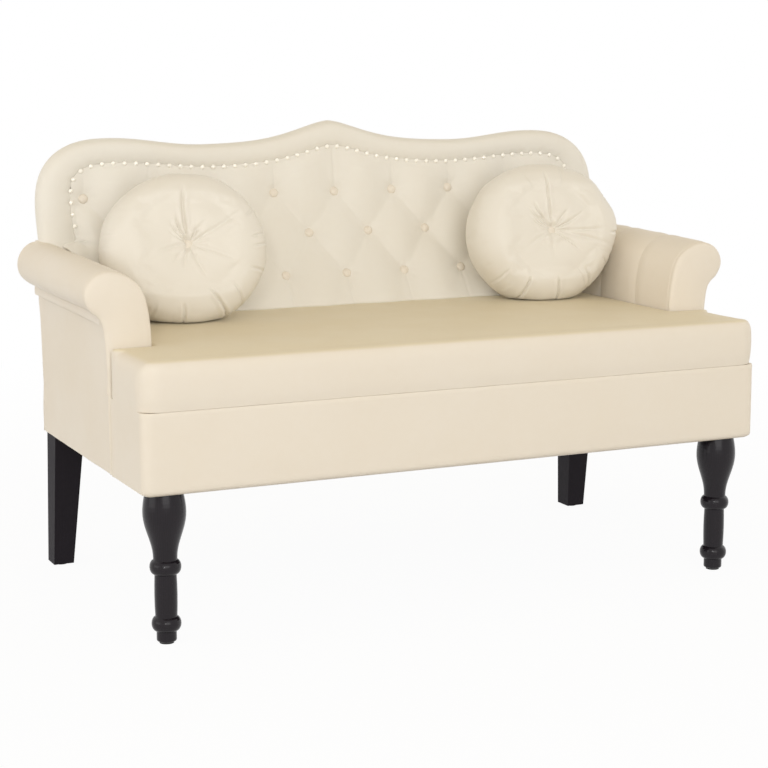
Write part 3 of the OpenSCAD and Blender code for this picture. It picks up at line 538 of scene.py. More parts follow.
@made_once
def timber(name, light, dark, stretch, bump_mm=0.1, rough=0.6, specular=0.5):
    """Wood with its fibres along the axis whose stretch is smallest."""
    material, nodes, links, shader, place, bump = new_material(name, Specular_IOR_Level=specular)
    wood = use_group(nodes, links, "fibre", place, Light=light, Dark=dark, Stretch=stretch)
    links.new(wood.outputs["Colour"], shader.inputs["Base Color"])
    links.new(spread(nodes, links, wood.outputs["Height"], 0.3, 0.7, rough - 0.06, rough + 0.06),
              shader.inputs["Roughness"])
    bump.inputs["Strength"].default_value = 0.4
    bump.inputs["Distance"].default_value = bump_mm * MM
    links.new(wood.outputs["Height"], bump.inputs["Height"])
    return material


@made_once
def cloth(name, colour, worn, threads):
    """Dull woven or moulded stuff; the more threads, the finer its weave."""
    material, nodes, links, shader, place, bump = new_material(name, Roughness=0.9)
    tone = use_group(nodes, links, "tone", place, Colour=colour, Worn=worn, Amount=1.0)
    weave = use_group(nodes, links, "weave", place, Threads=threads)
    links.new(tone.outputs["Colour"], shader.inputs["Base Color"])
    bump.inputs["Distance"].default_value = 0.3 * MM
    links.new(weave.outputs["Height"], bump.inputs["Height"])
    return material


@made_once
def metal(name, colour, worn, metallic, rough, coat=0.0):
    """Turned or polished metal with faint handling marks."""
    material, nodes, links, shader, place, bump = new_material(
        name, Metallic=metallic, Coat_Weight=coat, Coat_Roughness=0.08)
    tone = use_group(nodes, links, "tone", place, Colour=colour, Worn=worn, Amount=1.0)
    links.new(tone.outputs["Colour"], shader.inputs["Base Color"])
    links.new(spread(nodes, links, tone.outputs["Patches"], 0, 1, rough, rough + 0.12),
              shader.inputs["Roughness"])
    marks = add(nodes, "ShaderNodeTexNoise", Scale=900.0, Detail=2.0)
    links.new(place, marks.inputs["Vector"])
    bump.inputs["Strength"].default_value = 0.3
    bump.inputs["Distance"].default_value = 0.02 * MM
    links.new(marks.outputs["Fac"], bump.inputs["Height"])
    return material


# ---------------------------------------------------------------- settings


def length(name, text, value_mm, high_mm):
    return bpy.props.FloatProperty(
        name=name, description=text, default=value_mm * MM, min=0, max=high_mm * MM,
        unit="LENGTH", subtype="DISTANCE")


def tint(name, text, value):
    return bpy.props.FloatVectorProperty(
        name=name, description=text, default=value, min=0, max=1, size=4, subtype="COLOR")


class BenchPadding(bpy.types.PropertyGroup):
    """How full and how deeply drawn in the covers are."""

    seat_swell: length("Seat swell", "How far the seat's front face swells", 3.6, 10)
    seat_ripple: length("Seat ripple", "Height of the slow waves in the seat's top", 1.1, 4)
    puff: length("Puff", "Height of a diamond over its folds", 10, 16)
    dimple: length("Dimple", "How deep a button draws the back in", 7.6, 9)
    fold: length("Fold", "Depth of the upright folds at the top and the foot", 1.8, 4)
    pleat: length("Arm pleat", "Depth of a pleat across an arm", 1.7, 6)
    crease: length("Pillow crease", "Depth of the creases round a pillow's button", 2.9, 6)
    band_swell: length("Band swell", "Height of the smooth band over the nail line", 5.2, 10)


class BenchColours(bpy.types.PropertyGroup):
    """Colours of the visible materials."""

    cover: tint("Cover", "Faux leather of the bench", (0.80, 0.742, 0.655, 1))
    cover_worn: tint("Cover, worn", "Warmer tone that the cover drifts to", (0.785, 0.72, 0.622, 1))
    # Painted light: the back's two colours are a paler, cooler copy of the cover's, lifted to make
    # up for the shade and warm bounce light that fall on the back.
    back: tint("Back", "Faux leather of the tufted back and its band", (0.80, 0.775, 0.715, 1))
    back_worn: tint("Back, worn", "Warmer tone that the back drifts to", (0.785, 0.75, 0.68, 1))
    # Painted shade: this tint darkens and warms the seat's top to stand for the dimmer, warmer
    # light that falls on it from above; it is not wear.
    painted_top_shade: tint("Seat top", "What the cover is dulled by where people sit",
                 (0.965, 0.94, 0.815, 1))
    # Painted light: the pillows' colour is a paler, cooler copy of the cover's, lifted to make up
    # for the shade and warm bounce light on them.
    pillow: tint("Pillow", "Faux leather of the pillows", (0.795, 0.762, 0.695, 1))
    legs: tint("Legs", "Stain of the legs", (0.016, 0.0125, 0.017, 1))
    nails: tint("Nails", "Pearl of the nail heads", (1.0, 0.97, 0.89, 1))


def padding():
    return bpy.context.scene.bench_padding


def colours():
    return bpy.context.scene.bench_colours


def shade(colour, share):
    """A darker tone of a colour."""
    return [k * share for k in colour[:3]] + [1]


def cover_material():
    c = colours()
    return leather("Cream faux leather", c.cover, c.cover_worn)


# Painted light: the back and its band get the lifted copy of the cover's colours.
def back_material():
    c = colours()
    return leather("Back faux leather", c.back, c.back_worn)


@made_once
def seat_leather(name, colour, worn, painted_top_shade):
    """Leather with painted shade on the seat's top: there its colour is multiplied by a darker,
    warmer tint that stands for the dimmer, warmer light from above.
    """
    material = leather(name, colour, worn)
    nodes, links = material.node_tree.nodes, material.node_tree.links
    shader = nodes["Principled BSDF"]
    height = add(nodes, "ShaderNodeSeparateXYZ")
    links.new(add(nodes, "ShaderNodeTexCoord").outputs["Object"], height.inputs[0])
    # Painted shade: above the seat's front edge the colour is multiplied by the darker, warmer top
    # tint.
    blend = add(nodes, "ShaderNodeMix", data_type="RGBA", blend_type="MULTIPLY")
    edge = SEAM_Z + 71
    up = spread(nodes, links, height.outputs["Z"], edge * MM, (edge + 3.4) * MM)
    links.new(up, blend.inputs["Factor"])
    links.new(shader.inputs["Base Color"].links[0].from_socket, blend.inputs[6])
    blend.inputs[7].default_value = painted_top_shade
    links.new(blend.outputs[2], shader.inputs["Base Color"])
    return material


# The seat's cover, with painted shade on its top.
def seat_material():
    c = colours()
    return seat_leather("Seat faux leather", c.cover, c.cover_worn, c.painted_top_shade)


# Painted light: the pillows get their lifted colour, with the back's lifted worn tone.
def pillow_material():
    c = colours()
    return leather("Pillow faux leather", c.pillow, c.back_worn, grain=680.0)


def button_material():
    c = colours()
    return leather("Button faux leather", c.cover, c.cover_worn, grain=900.0, bump_mm=0.04)


# ---------------------------------------------------------------- seat and box


def seat_outline():
    """The T-shaped seat from above, anticlockwise from the left end of its rear."""
    x, y, ear = SIDE_X, BOX_FRONT, ARM_Y - 0.4
    arm, rear, r = ARM_X - 0.4, SEAT_REAR_Y, SEAT_CORNER_R
    left = arc(-arm + 6, rear - 6, 6, 90, 180, 4) + arc(-arm - 3, ear + 3, 3, 0, -90, 3)
    left += arc(-x + 7, ear - 7, 7, 90, 180, 6)
    left += arc(-x + r, y + r, r, 180, 270, 10)
    right = [(-px, py) for px, py in reversed(left)]
    return Path(left + right, closed=True, curved=False, steps=6)


def seat_section():
    """Inset and height over the seam, from the underside round to the top.

    There is a line each for the front, the free sides and the edges along the arms. Their
    undersides are equally wide, so that one blends into the next without a fold.
    """
    swell = padding().seat_swell / MM
    bulge = [(-swell * share, height) for share, height in (
        (0.3, 8), (0.7, 16), (0.95, 28), (1, 40), (0.9, 52), (0.6, 60), (0.1, 66.4))]
    front = [(5.5, 0.3), (3, 0.25), (1.3, 0.2), (0.55, 0.4), (0.28, 1.2), (0.0, 3.0), *bulge,
             (2.2, 71), (6, 73.9), (13, 75.2), (26, RIM_H)]
    sides = [(5.5, 0.1), (2.6, 0.1), (0.3, 0.1), (0.1, 0.7), (0, 3.0), (-0.2, 9), (-0.7, 17),
             (-1.1, 28), (-1.2, 40), (-0.6, 51), (0.9, 58.5), (3.8, 64.6), (8.2, 69.4),
             (14.4, 72.8), (20.5, 74.7), (26, RIM_H)]
    arms = [(5.5, 0.1), (2, 0.1), (0.4, 0.4), (0.1, 1.6), (0, 5), (0, 10), (0, 18), (0, 28),
            (0, 40), (0, 52), (0, 60), (0.2, 66), (0.8, 70.4), (2, 73.4), (3.7, 75),
            (5.5, RIM_H)]
    return Path(front), Path(sides), Path(arms)


def seam_hold(z):
    """Both covers lie still along the seam between the seat and the box."""
    return 1 - 0.85 * bell(z - SEAM_Z, 5)


def make_seat():
    outline = seat_outline()
    front_line, side_line, arm_line = seat_section()
    rim_z = SEAM_Z + RIM_H
    rise = CROWN_Z - rim_z
    wave = padding().seat_ripple / MM
    memory = {}

    def place(u, v):
        if u not in memory:
            p, n = outline.at(u), outline.outward(u)
            memory[u] = (p, n, smooth(-p.y, 7.2 - ARM_Y, 26 - ARM_Y), smooth(-n.y, 0.1, 0.9))
        p, n, free_edge, facing = memory[u]
        s = arm_line.at(v).lerp(side_line.at(v).lerp(front_line.at(v), facing), free_edge)
        q = p - n * s[0]
        return q.x, q.y, SEAM_Z + s[1]

    def crown(p, d):
        t = clamp(d / 70)
        return p.x, p.y, p.z + rise * (1 - (1 - t) ** 2)

    bm = bmesh.new()
    bent_grid(bm, 420, 34, place)
    close_flat(bm, 7.5, (0, 1), lambda p: p.z > rim_z - 2, crown)
    close_holes(bm)

    def soft(x, y, z):
        top = smooth(z, CROWN_Z - 16, CROWN_Z - 3)
        rear = 1 - smooth(y, 20, 110)
        slow = ripple(x, y, z, 150, 3) * 0.7 + ripple(x, y, z, 62, 9) * 0.35
        front = smooth(-y, -BOX_FRONT - 70, -BOX_FRONT - 10)
        drag = ripple(x / 5, y, z, 17, 4) * front * 0.35
        pull = bell(z - SEAM_Z - 5, 8) * ripple(x * 1.6, y * 1.6, 0, 26, 5) * 0.45
        return (slow * wave * mix(0.5, rear, top) + drag * (1 - top) + pull) * seam_hold(z)

    push_out(bm, soft)
    piece = finish_mesh("seat_cover", bm, seat_material(), replaces=["seat_pad"])


def make_apron():
    """The front panel of the box with its two turned corners, one cover from seam to seam."""
    r, end = CORNER_R, SIDE_SEAM_Y - 0.4
    left = [(-SIDE_X, end)] + arc(-SIDE_X + r, BOX_FRONT + r, r, 180, 270, 10)
    plan = Path(left + [(-px, py) for px, py in reversed(left)], curved=False, steps=8)
    top = SEAM_Z - LEG_H
    section = Path([(9.6, 0.4), (2.4, 0.1), (0.7, 0.8), (0.0, 3), (-0.3, 12), (-0.6, 34),
                    (-0.5, top - 50), (-0.2, top - 26), (0.05, top - 9), (0.2, top - 2.2),
                    (0.5, top - 0.1), (2, top + 0.4), (6, top + 0.5), (9.4, top - 2),
                    (9.6, top - 12), (9.6, top - 60)], closed=True)

    def place(u, v):
        p, n = plan.at(u), plan.outward(u)
        s = section.at(v)
        edge = min(u, 1 - u) * plan.length
        welt = 1.1 * bell(edge - 4.5, 3.2) - 3.4 * clamp(1 - edge / 2.6) ** 2
        rounding = mix(mix(0.1, 1, smooth(-n.y, 0.1, 0.9)), 1, smooth(s[0], 1.8, 6))
        q = p + n * (welt * smooth(9 - s[0], 0, 6) - s[0] * rounding)
        return q.x, q.y, LEG_H + s[1]

    bm = bmesh.new()
    bent_grid(bm, 360, 60, place)
    close_holes(bm)

    def soft(x, y, z):
        slow = ripple(x, y, z, 170, 1) * 0.9 + ripple(x, y, z * 0.6, 70, 2) * 0.3
        gather = bell(z - SEAM_Z, 10) * ripple(x * 1.5, y * 1.5, z * 0.3, 24, 7) * 0.5
        return (slow + gather) * smooth(z, LEG_H + 2, LEG_H + 30) * seam_hold(z)

    push_out(bm, soft)
    piece = finish_mesh("box_cover", bm, cover_material(),
                        replaces=["front_apron", "apron_corner_left", "apron_corner_right"])


def edge_drop(e, r):
    """How far a rounded edge has dropped at the distance e from its side."""
    e = clamp(e, 0, r)
    return r - math.sqrt(max(0.0, r * r - (r - e) ** 2))


def even_edges(u, size, edge=5.0, share=0.1):
    """Distance along a side, with more rows near its two ends."""
    if u < share:
        return edge * u / share
    if u > 1 - share:
        return size - edge * (1 - u) / share
    return mix(edge, size - edge, (u - share) / (1 - 2 * share))


def lip_z(t):
    """Height of the arm roll's lip at the share t of the arm's length."""
    return 477.6 + 5 * t


def corner_ease(z):
    """How much further the rear corner is rounded off between the box and the arm."""
    return 2.6 * smooth(z, LEG_H + 30, 330) * (1 - smooth(z, 420, 466))


def make_side(side):
    bm = bmesh.new()

    def wall(u, v):
        z_low = LEG_H + 0.3
        z_high = lip_z(clamp(u)) + 0.5
        zz = even_edges(v, z_high - z_low)
        z = z_low + zz
        front = SIDE_SEAM_Y + 0.4 + 8.6 * smooth(z, SEAT_Z - 16, SEAT_Z + 6)
        rear = back_y(z, PANEL_T + 0.3)
        yy = even_edges(u, rear - front, 6)
        drop = (edge_drop(yy, 3.2) + edge_drop(rear - front - yy, 2.0) + edge_drop(zz, 2.2)) * 0.9
        drop += (0.6 + corner_ease(z)) * smooth(yy, rear - front - 14, rear - front)
        welt = 1.3 * bell(yy - 5, 3.2)
        hollow = -2.6 * smooth(z, z_high - 46, z_high)
        x = SIDE_X - drop + welt + hollow + 0.8 * math.sin(math.pi * u) * math.sin(math.pi * v)
        return x, front + yy, z

    bent_grid(bm, 130, 90, wall)

    def strip(u, v):
        z = mix(lip_z(1) - 4, ARM_END_Z, v)
        w = 18.4
        yy = even_edges(u, w, 3, 0.3)
        x = SIDE_X - edge_drop(yy, 2.5) - edge_drop(w - yy, 3)
        return x, back_y(z, 28) + yy, z

    bent_grid(bm, 10, 20, strip)
    push_out(bm, lambda x, y, z: ripple(x, y, z, 130, 6) * 0.9 + ripple(x, y, z, 48, 8) * 0.22)
    back_up(bm, lambda p: (SIDE_X - PANEL_T + 0.2, p.y, p.z))
    name = handed(bm, side)
    piece = finish_mesh(f"side_cover_{name}", bm, cover_material(), replaces=[f"side_panel_{name}"])


# ---------------------------------------------------------------- arms


# An arm from the seat over its roll to the lip, as [x, z] at the arm's front
SCROLL = [
    (464.8, 431), (465.3, 450), (466.8, 467.5), (469.3, 485), (474, 505), (482, 521), (494, 533),
    (509, 541.2), (524, 545.6), (538, 545.2), (551, 540.2), (561, 531.5), (567.5, 520), (569, 508),
    (565.5, 496.5), (557, 487.5), (546.5, 481.5), (538, 478.8)]


def lifted(z, t):
    """The roll climbs towards the back."""
    return z + (11 * t + 2.5 * smooth(t, 0.7, 1)) * clamp((z - SEAT_Z) / 116)


# Where the arms' pleats lie, as shares of the arms' length
ARM_PLEATS = (0.29, 0.60)

# The lip's strip: x of its middle, how far that lies below the roll's edge, and half its height
LIP_X, LIP_DROP, LIP_HALF = 536.8, 7.2, 8.2


def make_arm(side):
    inside = [(530, 478.2), (522, 483), (520, 500), (508, 506), (501.5, 500), (500.6, 470),
              (500.6, 400), (499, 357.5), (466, 357.5), (464.8, 368), (464.8, 400)]
    scroll = Path(SCROLL + inside, closed=True)
    outer = Path(SCROLL)
    over = outer.length / scroll.length
    start, seed = ARM_PAD_Y + 0.2, 11 if side > 0 else 23
    depth = padding().pleat / MM
    fade = (0.62, 0.88) if side > 0 else (0.36, 0.56)
    memory = {}

    def place(u, v):
        if u not in memory:
            memory[u] = (scroll.at(u), scroll.outward(u))
        p, n = memory[u]
        z = lifted(p[1], v)
        end = back_y(z, PAD_DEPTH) + 11 * smooth(p[0], 526, 546)
        run = end - start
        y = start + even_edges(v, run, 14, 0.14)
        t = (y - start) / run
        shown = clamp(u / over)
        full = 1 - smooth(shown, *fade)
        out = 1.2 * math.sin(math.pi * clamp(t)) * smooth(shown, 0.02, 0.2)
        for pleat in ARM_PLEATS:
            d = (t - pleat) * run + 3 * math.sin(5 * shown)
            wrinkles = ripple(u * 220, d * 0.7, 0, 7, seed) * bell(shown - 0.52, 0.10) * bell(d, 13)
            groove = 0.7 * math.exp(-abs(d) / 2.6) + 0.4 * bell(d, 13)
            out -= full * (depth * groove - 1.2 * wrinkles)
            out += full * 0.5 * (bell(abs(d) - 20, 12))
        tail = clamp(((v - 1) * run + 17) / 17)
        out -= 15 * (1 - math.sqrt(max(0.0, 1 - tail * tail))) * smooth(p[0], 533, 547)
        out -= 2.4 * clamp(1 - (y - start) / 5) ** 2
        if u > over:
            out = 0
        q = p + n * out
        return q[0], y, lifted(q[1], v)

    def lip(u, v):
        """The cover's turned-under edge, a strip below the roll that meets the wall at its rear."""
        a, t = 2 * math.pi * u, 0.03 + 0.97 * v
        z = lip_z(t) - LIP_DROP + LIP_HALF * math.sin(a) + 0.6 * ripple(0, 900 * t, 0, 60, seed)
        full = math.sqrt(1 - (2 * min(v, 0.96) - 1) ** 20)
        flare = 2.6 * (1 - smooth(t, 0.03, 0.09))
        thick = 2.0 if math.cos(a) > 0 else mix(2.0, 7.0, smooth(t, 0.88, 0.96))
        x = LIP_X + flare + (thick * math.cos(a) - 0.4 * math.sin(a)) * full
        return x, mix(start, back_y(z, 9.9), t), z

    bm = bmesh.new()
    bent_grid(bm, 24, 120, lip)
    bent_grid(bm, 200, 170, place)
    close_holes(bm)
    push_out(bm, lambda x, y, z: (ripple(x, y, z, 90, seed) * 0.8 + ripple(x, y, z, 34, seed) * 0.3)
             * smooth(z, SEAT_Z, SEAT_Z + 40))
    name = handed(bm, side)
    piece = finish_mesh(f"arm_cover_{name}", bm, cover_material(), replaces=[f"arm_pad_{name}"])


def make_arm_front(side):
    """The scroll-shaped front of an arm, padded and drawn over its edge all round."""
    neck = [(558.5, 486), (549.5, 478.5), (543.8, 470.5), (540.6, 460), (538.6, 446), (537.4, 431)]
    foot = [(536.4, 405), (535.6, 380), (535, 358), (500, 357.3), (468, 357.5), (464.9, 362),
            (464.8, 400)]
    outline = Path(SCROLL[:-3] + neck + foot, closed=True)
    section = Path([(12, 0.2), (9.6, 0), (7.2, 0.4), (4.8, 1.7), (3.0, 3.7), (1.6, 6.6), (0.7, 10),
                    (0.2, 14)])
    face_y = ARM_Y + 2.4

    def place(u, v):
        q = outline.at(u) - outline.outward(u) * section.at(v)[1]
        return q[0], face_y + section.at(v)[0] * (9.8 / 12), q[1]

    def dome(p, d):
        t = clamp(d / 24)
        return p.x, p.y - 2.0 * (1 - (1 - t) ** 2), p.z

    bm = bmesh.new()
    bent_grid(bm, 300, 20, place)
    close_flat(bm, 4, (0, 2), lambda p: p.y < face_y + 1, dome)
    close_holes(bm)
    push_out(bm, lambda x, y, z: ripple(x, y, z, 60, 5 + side) * 0.5
             * smooth(-y, -face_y - 2, -face_y))
    name = handed(bm, side)
    piece = finish_mesh(f"arm_front_cover_{name}", bm, cover_material(),
                        replaces=[f"arm_front_panel_{name}"])


# ---------------------------------------------------------------- back


def crest(x, top, drop, lobe, valley_x, sharp):
    """Height of the camel crest at x: a peak, a valley and a lobe on each side."""
    a, t = abs(x), clamp((abs(x) - valley_x) / (LOBE_X - valley_x))
    peak = math.exp(-(a * sharp / (0.42 * valley_x)) ** 1.57)
    return top - drop * (1 - peak) + (drop - lobe) * (1 - math.cos(math.pi * t)) / 2


# Steps of a serpentine edge: to the top of the lobe, round the shoulder and down the side
CREST_STEPS, SHOULDER_STEPS, SIDE_STEPS = 64, 30, 12


def half_edge(top, drop, lobe, valley_x, side_x, shoulder, foot_in, sharp=1.0):
    """Half of a serpentine edge, from the middle over the lobe and down its side."""
    across = [LOBE_X * i / CREST_STEPS for i in range(CREST_STEPS + 1)]
    points = [(x, crest(x, top, drop, lobe, valley_x, sharp)) for x in across]
    for i in range(1, SHOULDER_STEPS + 1):
        a = math.pi / 2 * i / SHOULDER_STEPS
        points.append((LOBE_X + (side_x - LOBE_X) * math.sin(a) ** 0.8,
                       top - lobe - shoulder * (1 - max(0.0, math.cos(a)) ** 0.8)))
    for i in range(1, SIDE_STEPS + 1):
        t = i / SIDE_STEPS
        points.append((side_x - foot_in * t * t, mix(top - lobe - shoulder, ARM_END_Z + 0.3, t)))
    return points


BACK_SIDE_X = SIDE_X + 1.5
NAIL_PEAK_Z = PEAK_Z - 43
NAIL_LOBE, NAIL_SHOULDER = 22, 51
OUTER_EDGE = half_edge(PEAK_Z, 38, 24, VALLEY_X, BACK_SIDE_X, 116, 4, sharp=1.08)
NAIL_EDGE = half_edge(NAIL_PEAK_Z, 33, NAIL_LOBE, VALLEY_X - 22, BACK_SIDE_X - 56, NAIL_SHOULDER, 9)
NAIL_TOP = [(x, z) for x, z in NAIL_EDGE
            if x <= LOBE_X or z > NAIL_PEAK_Z - NAIL_LOBE - NAIL_SHOULDER]
NAIL_SIDE_UP = list(reversed(NAIL_EDGE[CREST_STEPS:]))


def look_up(points, value, key, other):
    """Reads one coordinate of a line of points against the other, which only rises along it."""
    keys = [p[key] for p in points]
    i = int(clamp(bisect_right(keys, value), 1, len(points) - 1))
    span = keys[i] - keys[i - 1]
    share = clamp((value - keys[i - 1]) / span if span else 0)
    return mix(points[i - 1][other], points[i][other], share)


def nail_z(x):
    return look_up(NAIL_TOP, abs(x), 0, 1)


def nail_x(z):
    return look_up(NAIL_SIDE_UP, z, 1, 0)


# The arms' inner side where they meet the back
ARM_INSIDE = [(x, lifted(z, 1)) for x, z in SCROLL[:9]]


def inner_edge_x(z):
    """Where the tufting ends at its sides: at the arms, and over them at the nails."""
    return mix(ARM_X, nail_x(z), smooth(z, ARM_END_Z - 10, ARM_END_Z))


def over_arm(z):
    """0 beside the arms and 1 above them."""
    return smooth(z, ARM_END_Z - 6, ARM_END_Z + 3)


def pad_edge_x(z):
    """Where the cover ends: it fills the corner over an arm's roll, up to the band's foot."""
    low = min(look_up(ARM_INSIDE, z, 1, 0) - 0.8, 500)
    return mix(low, nail_x(max(z, ARM_END_Z)) + 5.5, over_arm(z))


def base_depth(x, z):
    """Depth of the back's filling without its tufts: thin at the nails, thick at the seat."""
    up = clamp((z - SEAT_Z) / (nail_z(x) - SEAT_Z))
    side = 1 - (1 - clamp((inner_edge_x(z) - abs(x) - 6) / 52)) ** 2
    full = mix(1, side, smooth(z, ARM_END_Z - 20, ARM_END_Z + 10))
    return NAIL_DEPTH + (FOOT_DEPTH - NAIL_DEPTH) * (1 - up) ** 1.9 * full


def tuft_phase(x, z):
    """Where a point lies in the diamonds: its two distances across the folds, in steps."""
    w = clamp((TOP_ROW_Z - z) / ROW_GAP, 0, ROWS_DOWN) / ROWS_DOWN
    p = x / BUTTON_STEP
    return p + w, p - w


def near_button(x, z):
    """Distance to the nearest button, the way to it, and its place in its row and the row."""
    row = int(clamp(round((TOP_ROW_Z - z) / ROW_GAP), 0, ROWS_DOWN))
    shift = 0.5 if row == 1 else 0.0
    i = clamp(round(x / BUTTON_STEP - shift), -BUTTONS_OUT, BUTTONS_OUT - 2 * shift) + shift
    dx, dz = x - i * BUTTON_STEP, z - (TOP_ROW_Z - row * ROW_GAP)
    return math.hypot(dx, dz), dx, dz, i, row


def tuft_depth(x, z):
    """Depth of the tufted cover: soft puffs, folds between them and a pull at each button."""
    p = padding()
    a, b = tuft_phase(x, z)
    puff = math.sqrt((math.sin(math.pi * a) * math.sin(math.pi * b)) ** 2 + 0.01) - 0.1
    gaps = [min(k % 1, 1 - k % 1) * BUTTON_STEP for k in (a, b)]
    low_row = TOP_ROW_Z - ROWS_DOWN * ROW_GAP
    upright = max(smooth(z, TOP_ROW_Z, TOP_ROW_Z + 14), 1 - smooth(z, low_row - 14, low_row))
    crease = sum(math.exp(-gap / mix(3.2, 1.7, upright)) for gap in gaps) / 2
    side = clamp((inner_edge_x(z) - abs(x) - 6) / 20)
    top = clamp((nail_z(x) - z - 5) / 24)
    low = mix(0.6, 1, smooth(z, SEAT_Z, SEAT_Z + 24))
    fade = math.sqrt(side * top)
    d, dx, dz, i, row = near_button(x, z)
    pull = p.dimple / MM * (bell(d, 12) * 0.68 + bell(d, 23) * 0.32)
    angle = math.atan2(dz, dx)
    rays = sum(math.cos(k * angle + 1.7 * k * i + row) for k in (5, 7, 11)) / 3
    rays *= 0.55 * bell(d - 14, 10) * smooth(d, 6, 12)
    slow = ripple(x, 0, z, 52, 2) * 0.9 + ripple(x, 0, z, 23, 4) * 0.3
    depth = base_depth(x, z) + (p.puff / MM * puff * low + slow + rays) * fade
    return depth - p.fold / MM * crease * mix(0.3, 1, upright) * mix(0.4, 1, fade) - pull


def make_tufted_back():
    def place(u, v):
        z = mix(SEAT_Z - 0.6, PEAK_Z - 38, v)
        edge = pad_edge_x(z)
        x = (2 * u - 1) * edge
        depth = tuft_depth(x, z) - 10 * clamp(1 - (z - SEAT_Z) / 7) ** 2
        depth -= 9 * clamp(1 - (edge - abs(x)) / 6) ** 2 * (1 - over_arm(z))
        depth -= 8 * smooth(z - nail_z(x), 0.8, 5.5)
        depth -= 8 * smooth(abs(x) - nail_x(z), 0.8, 5.5) * over_arm(z)
        return x, back_y(z, max(depth, PAD_DEPTH + 1)), z

    bm = bmesh.new()
    bent_grid(bm, 390, 114, place)
    over = [v for v in bm.verts if v.co.z / MM > nail_z(v.co.x / MM) + 6]
    bmesh.ops.delete(bm, geom=over, context="VERTS")
    back_up(bm, lambda p: (clamp(p.x, -ARM_X - 8, ARM_X + 8), back_y(p.z, PAD_DEPTH), p.z))
    piece = finish_mesh("tufted_cover", bm, back_material(), replaces=["tufted_pad"], sharp=65)


def band_section():
    """The band across, as [share from the nails to the edge, depth]."""
    swell = NAIL_DEPTH + padding().band_swell / MM
    return Path([(0.0, 36), (0.0, 43.4), (0.03, 44.4), (0.08, 45.7), (0.15, 47.2),
                 (0.26, swell - 1.2), (0.42, swell - 0.1), (0.60, swell), (0.76, swell - 1.6),
                 (0.88, swell - 5.6),
                 (0.965, 37), (1.0, 29), (0.98, 22.5), (0.935, 16.5), (0.88, 12.2), (0.80, 10.2),
                 (0.74, 11), (0.72, 29), (0.4, 30.9), (0.02, 30.9)], closed=True)


# The band's rear edge: how far across the band it lies at the foot and along the crest, and the
# depth at which it starts to round off
REAR_FOOT, REAR_CREST, REAR_DEPTH = 0.93, 0.72, 26


def rear_share(k):
    """How far across the band its rear edge lies, k edge points from the foot."""
    return mix(REAR_FOOT, REAR_CREST, clamp((k - 4) / 14))


def make_band():
    last = len(OUTER_EDGE) - 1
    section = band_section()
    pitch = 19.8
    run = [0.0]
    for p, q in zip(NAIL_EDGE, NAIL_EDGE[1:]):
        run.append(run[-1] + math.dist(p, q))

    def place(u, v):
        k = (2 * u - 1) * last
        side, i = (-1 if k < 0 else 1), min(int(abs(k)), last - 1)
        f = abs(k) - i
        inner = [mix(NAIL_EDGE[i][j], NAIL_EDGE[i + 1][j], f) for j in (0, 1)]
        outer = [mix(OUTER_EDGE[i][j], OUTER_EDGE[i + 1][j], f) for j in (0, 1)]
        t, depth = section.at(v)
        if t > REAR_CREST and depth < REAR_DEPTH:
            pull = (0.94 - rear_share(last - abs(k))) * ((REAR_DEPTH - depth) / 16) ** 1.4
            t = max(REAR_CREST, t - pull)
        x, z = mix(inner[0], outer[0], t), mix(inner[1], outer[1], t)
        z -= (15 + 4 * (1 - smooth(x, 484, 506))) * smooth(abs(k), last - 6, last)
        arc_run = mix(run[i], run[i + 1], f)
        if depth > 31:
            tug = math.cos(2 * math.pi * (arc_run / pitch - 0.5))
            depth -= 0.5 * tug * bell(t - 0.02, 0.16)
            shoulder = bell(arc_run - 430, 60)
            fine = ripple(arc_run, 40 * t, side * 50, 13, 6) * bell(t - 0.2, 0.34)
            depth += fine * (0.3 + 0.6 * shoulder)
            depth += ripple(arc_run, 60 * t, side * 90, 95, 3) * 0.8
        return side * x, back_y(z, depth), z

    bm = bmesh.new()
    bent_grid(bm, 2 * last * 3, 64, place)
    close_holes(bm)
    piece = finish_mesh("back_band", bm, back_material(), replaces=["back_border"], sharp=60)


def make_rear_cover():
    last = len(OUTER_EDGE) - 1
    edge = [[mix(a[j], b[j], rear_share(last - i)) for j in (0, 1)]
            for i, (a, b) in enumerate(zip(NAIL_EDGE, OUTER_EDGE))][::3]
    edge += [(SIDE_X, SEAT_Z), (SIDE_X, 330), (SIDE_X, LEG_H + 0.3), (260, LEG_H + 0.3)]
    edge += [(-x, z) for x, z in reversed(edge[1:])]
    outline = Path(edge, closed=True, curved=False, steps=4)
    section = Path([(9.6, 0.5), (7.2, 0.9), (4.8, 2.2), (2.8, 4.1), (1.3, 6.6), (0.4, 9.6),
                    (0.1, 12.6)])

    def place(u, v):
        depth, inset = section.at(v)
        p = outline.at(u)
        low_edge = smooth(p[1], LEG_H + 1, LEG_H + 12)
        ease = corner_ease(p[1]) * smooth(abs(p[0]), SIDE_X - 3, SIDE_X) * 1.2
        q = p - outline.outward(u) * (inset * mix(0.35, 1, low_edge) + ease)
        return q[0], back_y(q[1], depth + 0.4), q[1]

    bm = bmesh.new()
    bent_grid(bm, 420, 16, place)
    flat = back_y(0, 0.6)
    close_flat(bm, 11, (0, 2), lambda p: p.y > flat + p.z * LEAN, lambda p, d: p)
    close_holes(bm)
    push_out(bm, lambda x, y, z: ripple(x, y, z, 160, 8) * 0.7 + ripple(x, y, z, 55, 3) * 0.25)
    piece = finish_mesh("rear_cover", bm, cover_material(), replaces=["back_rear_panel"])


# ---------------------------------------------------------------- buttons


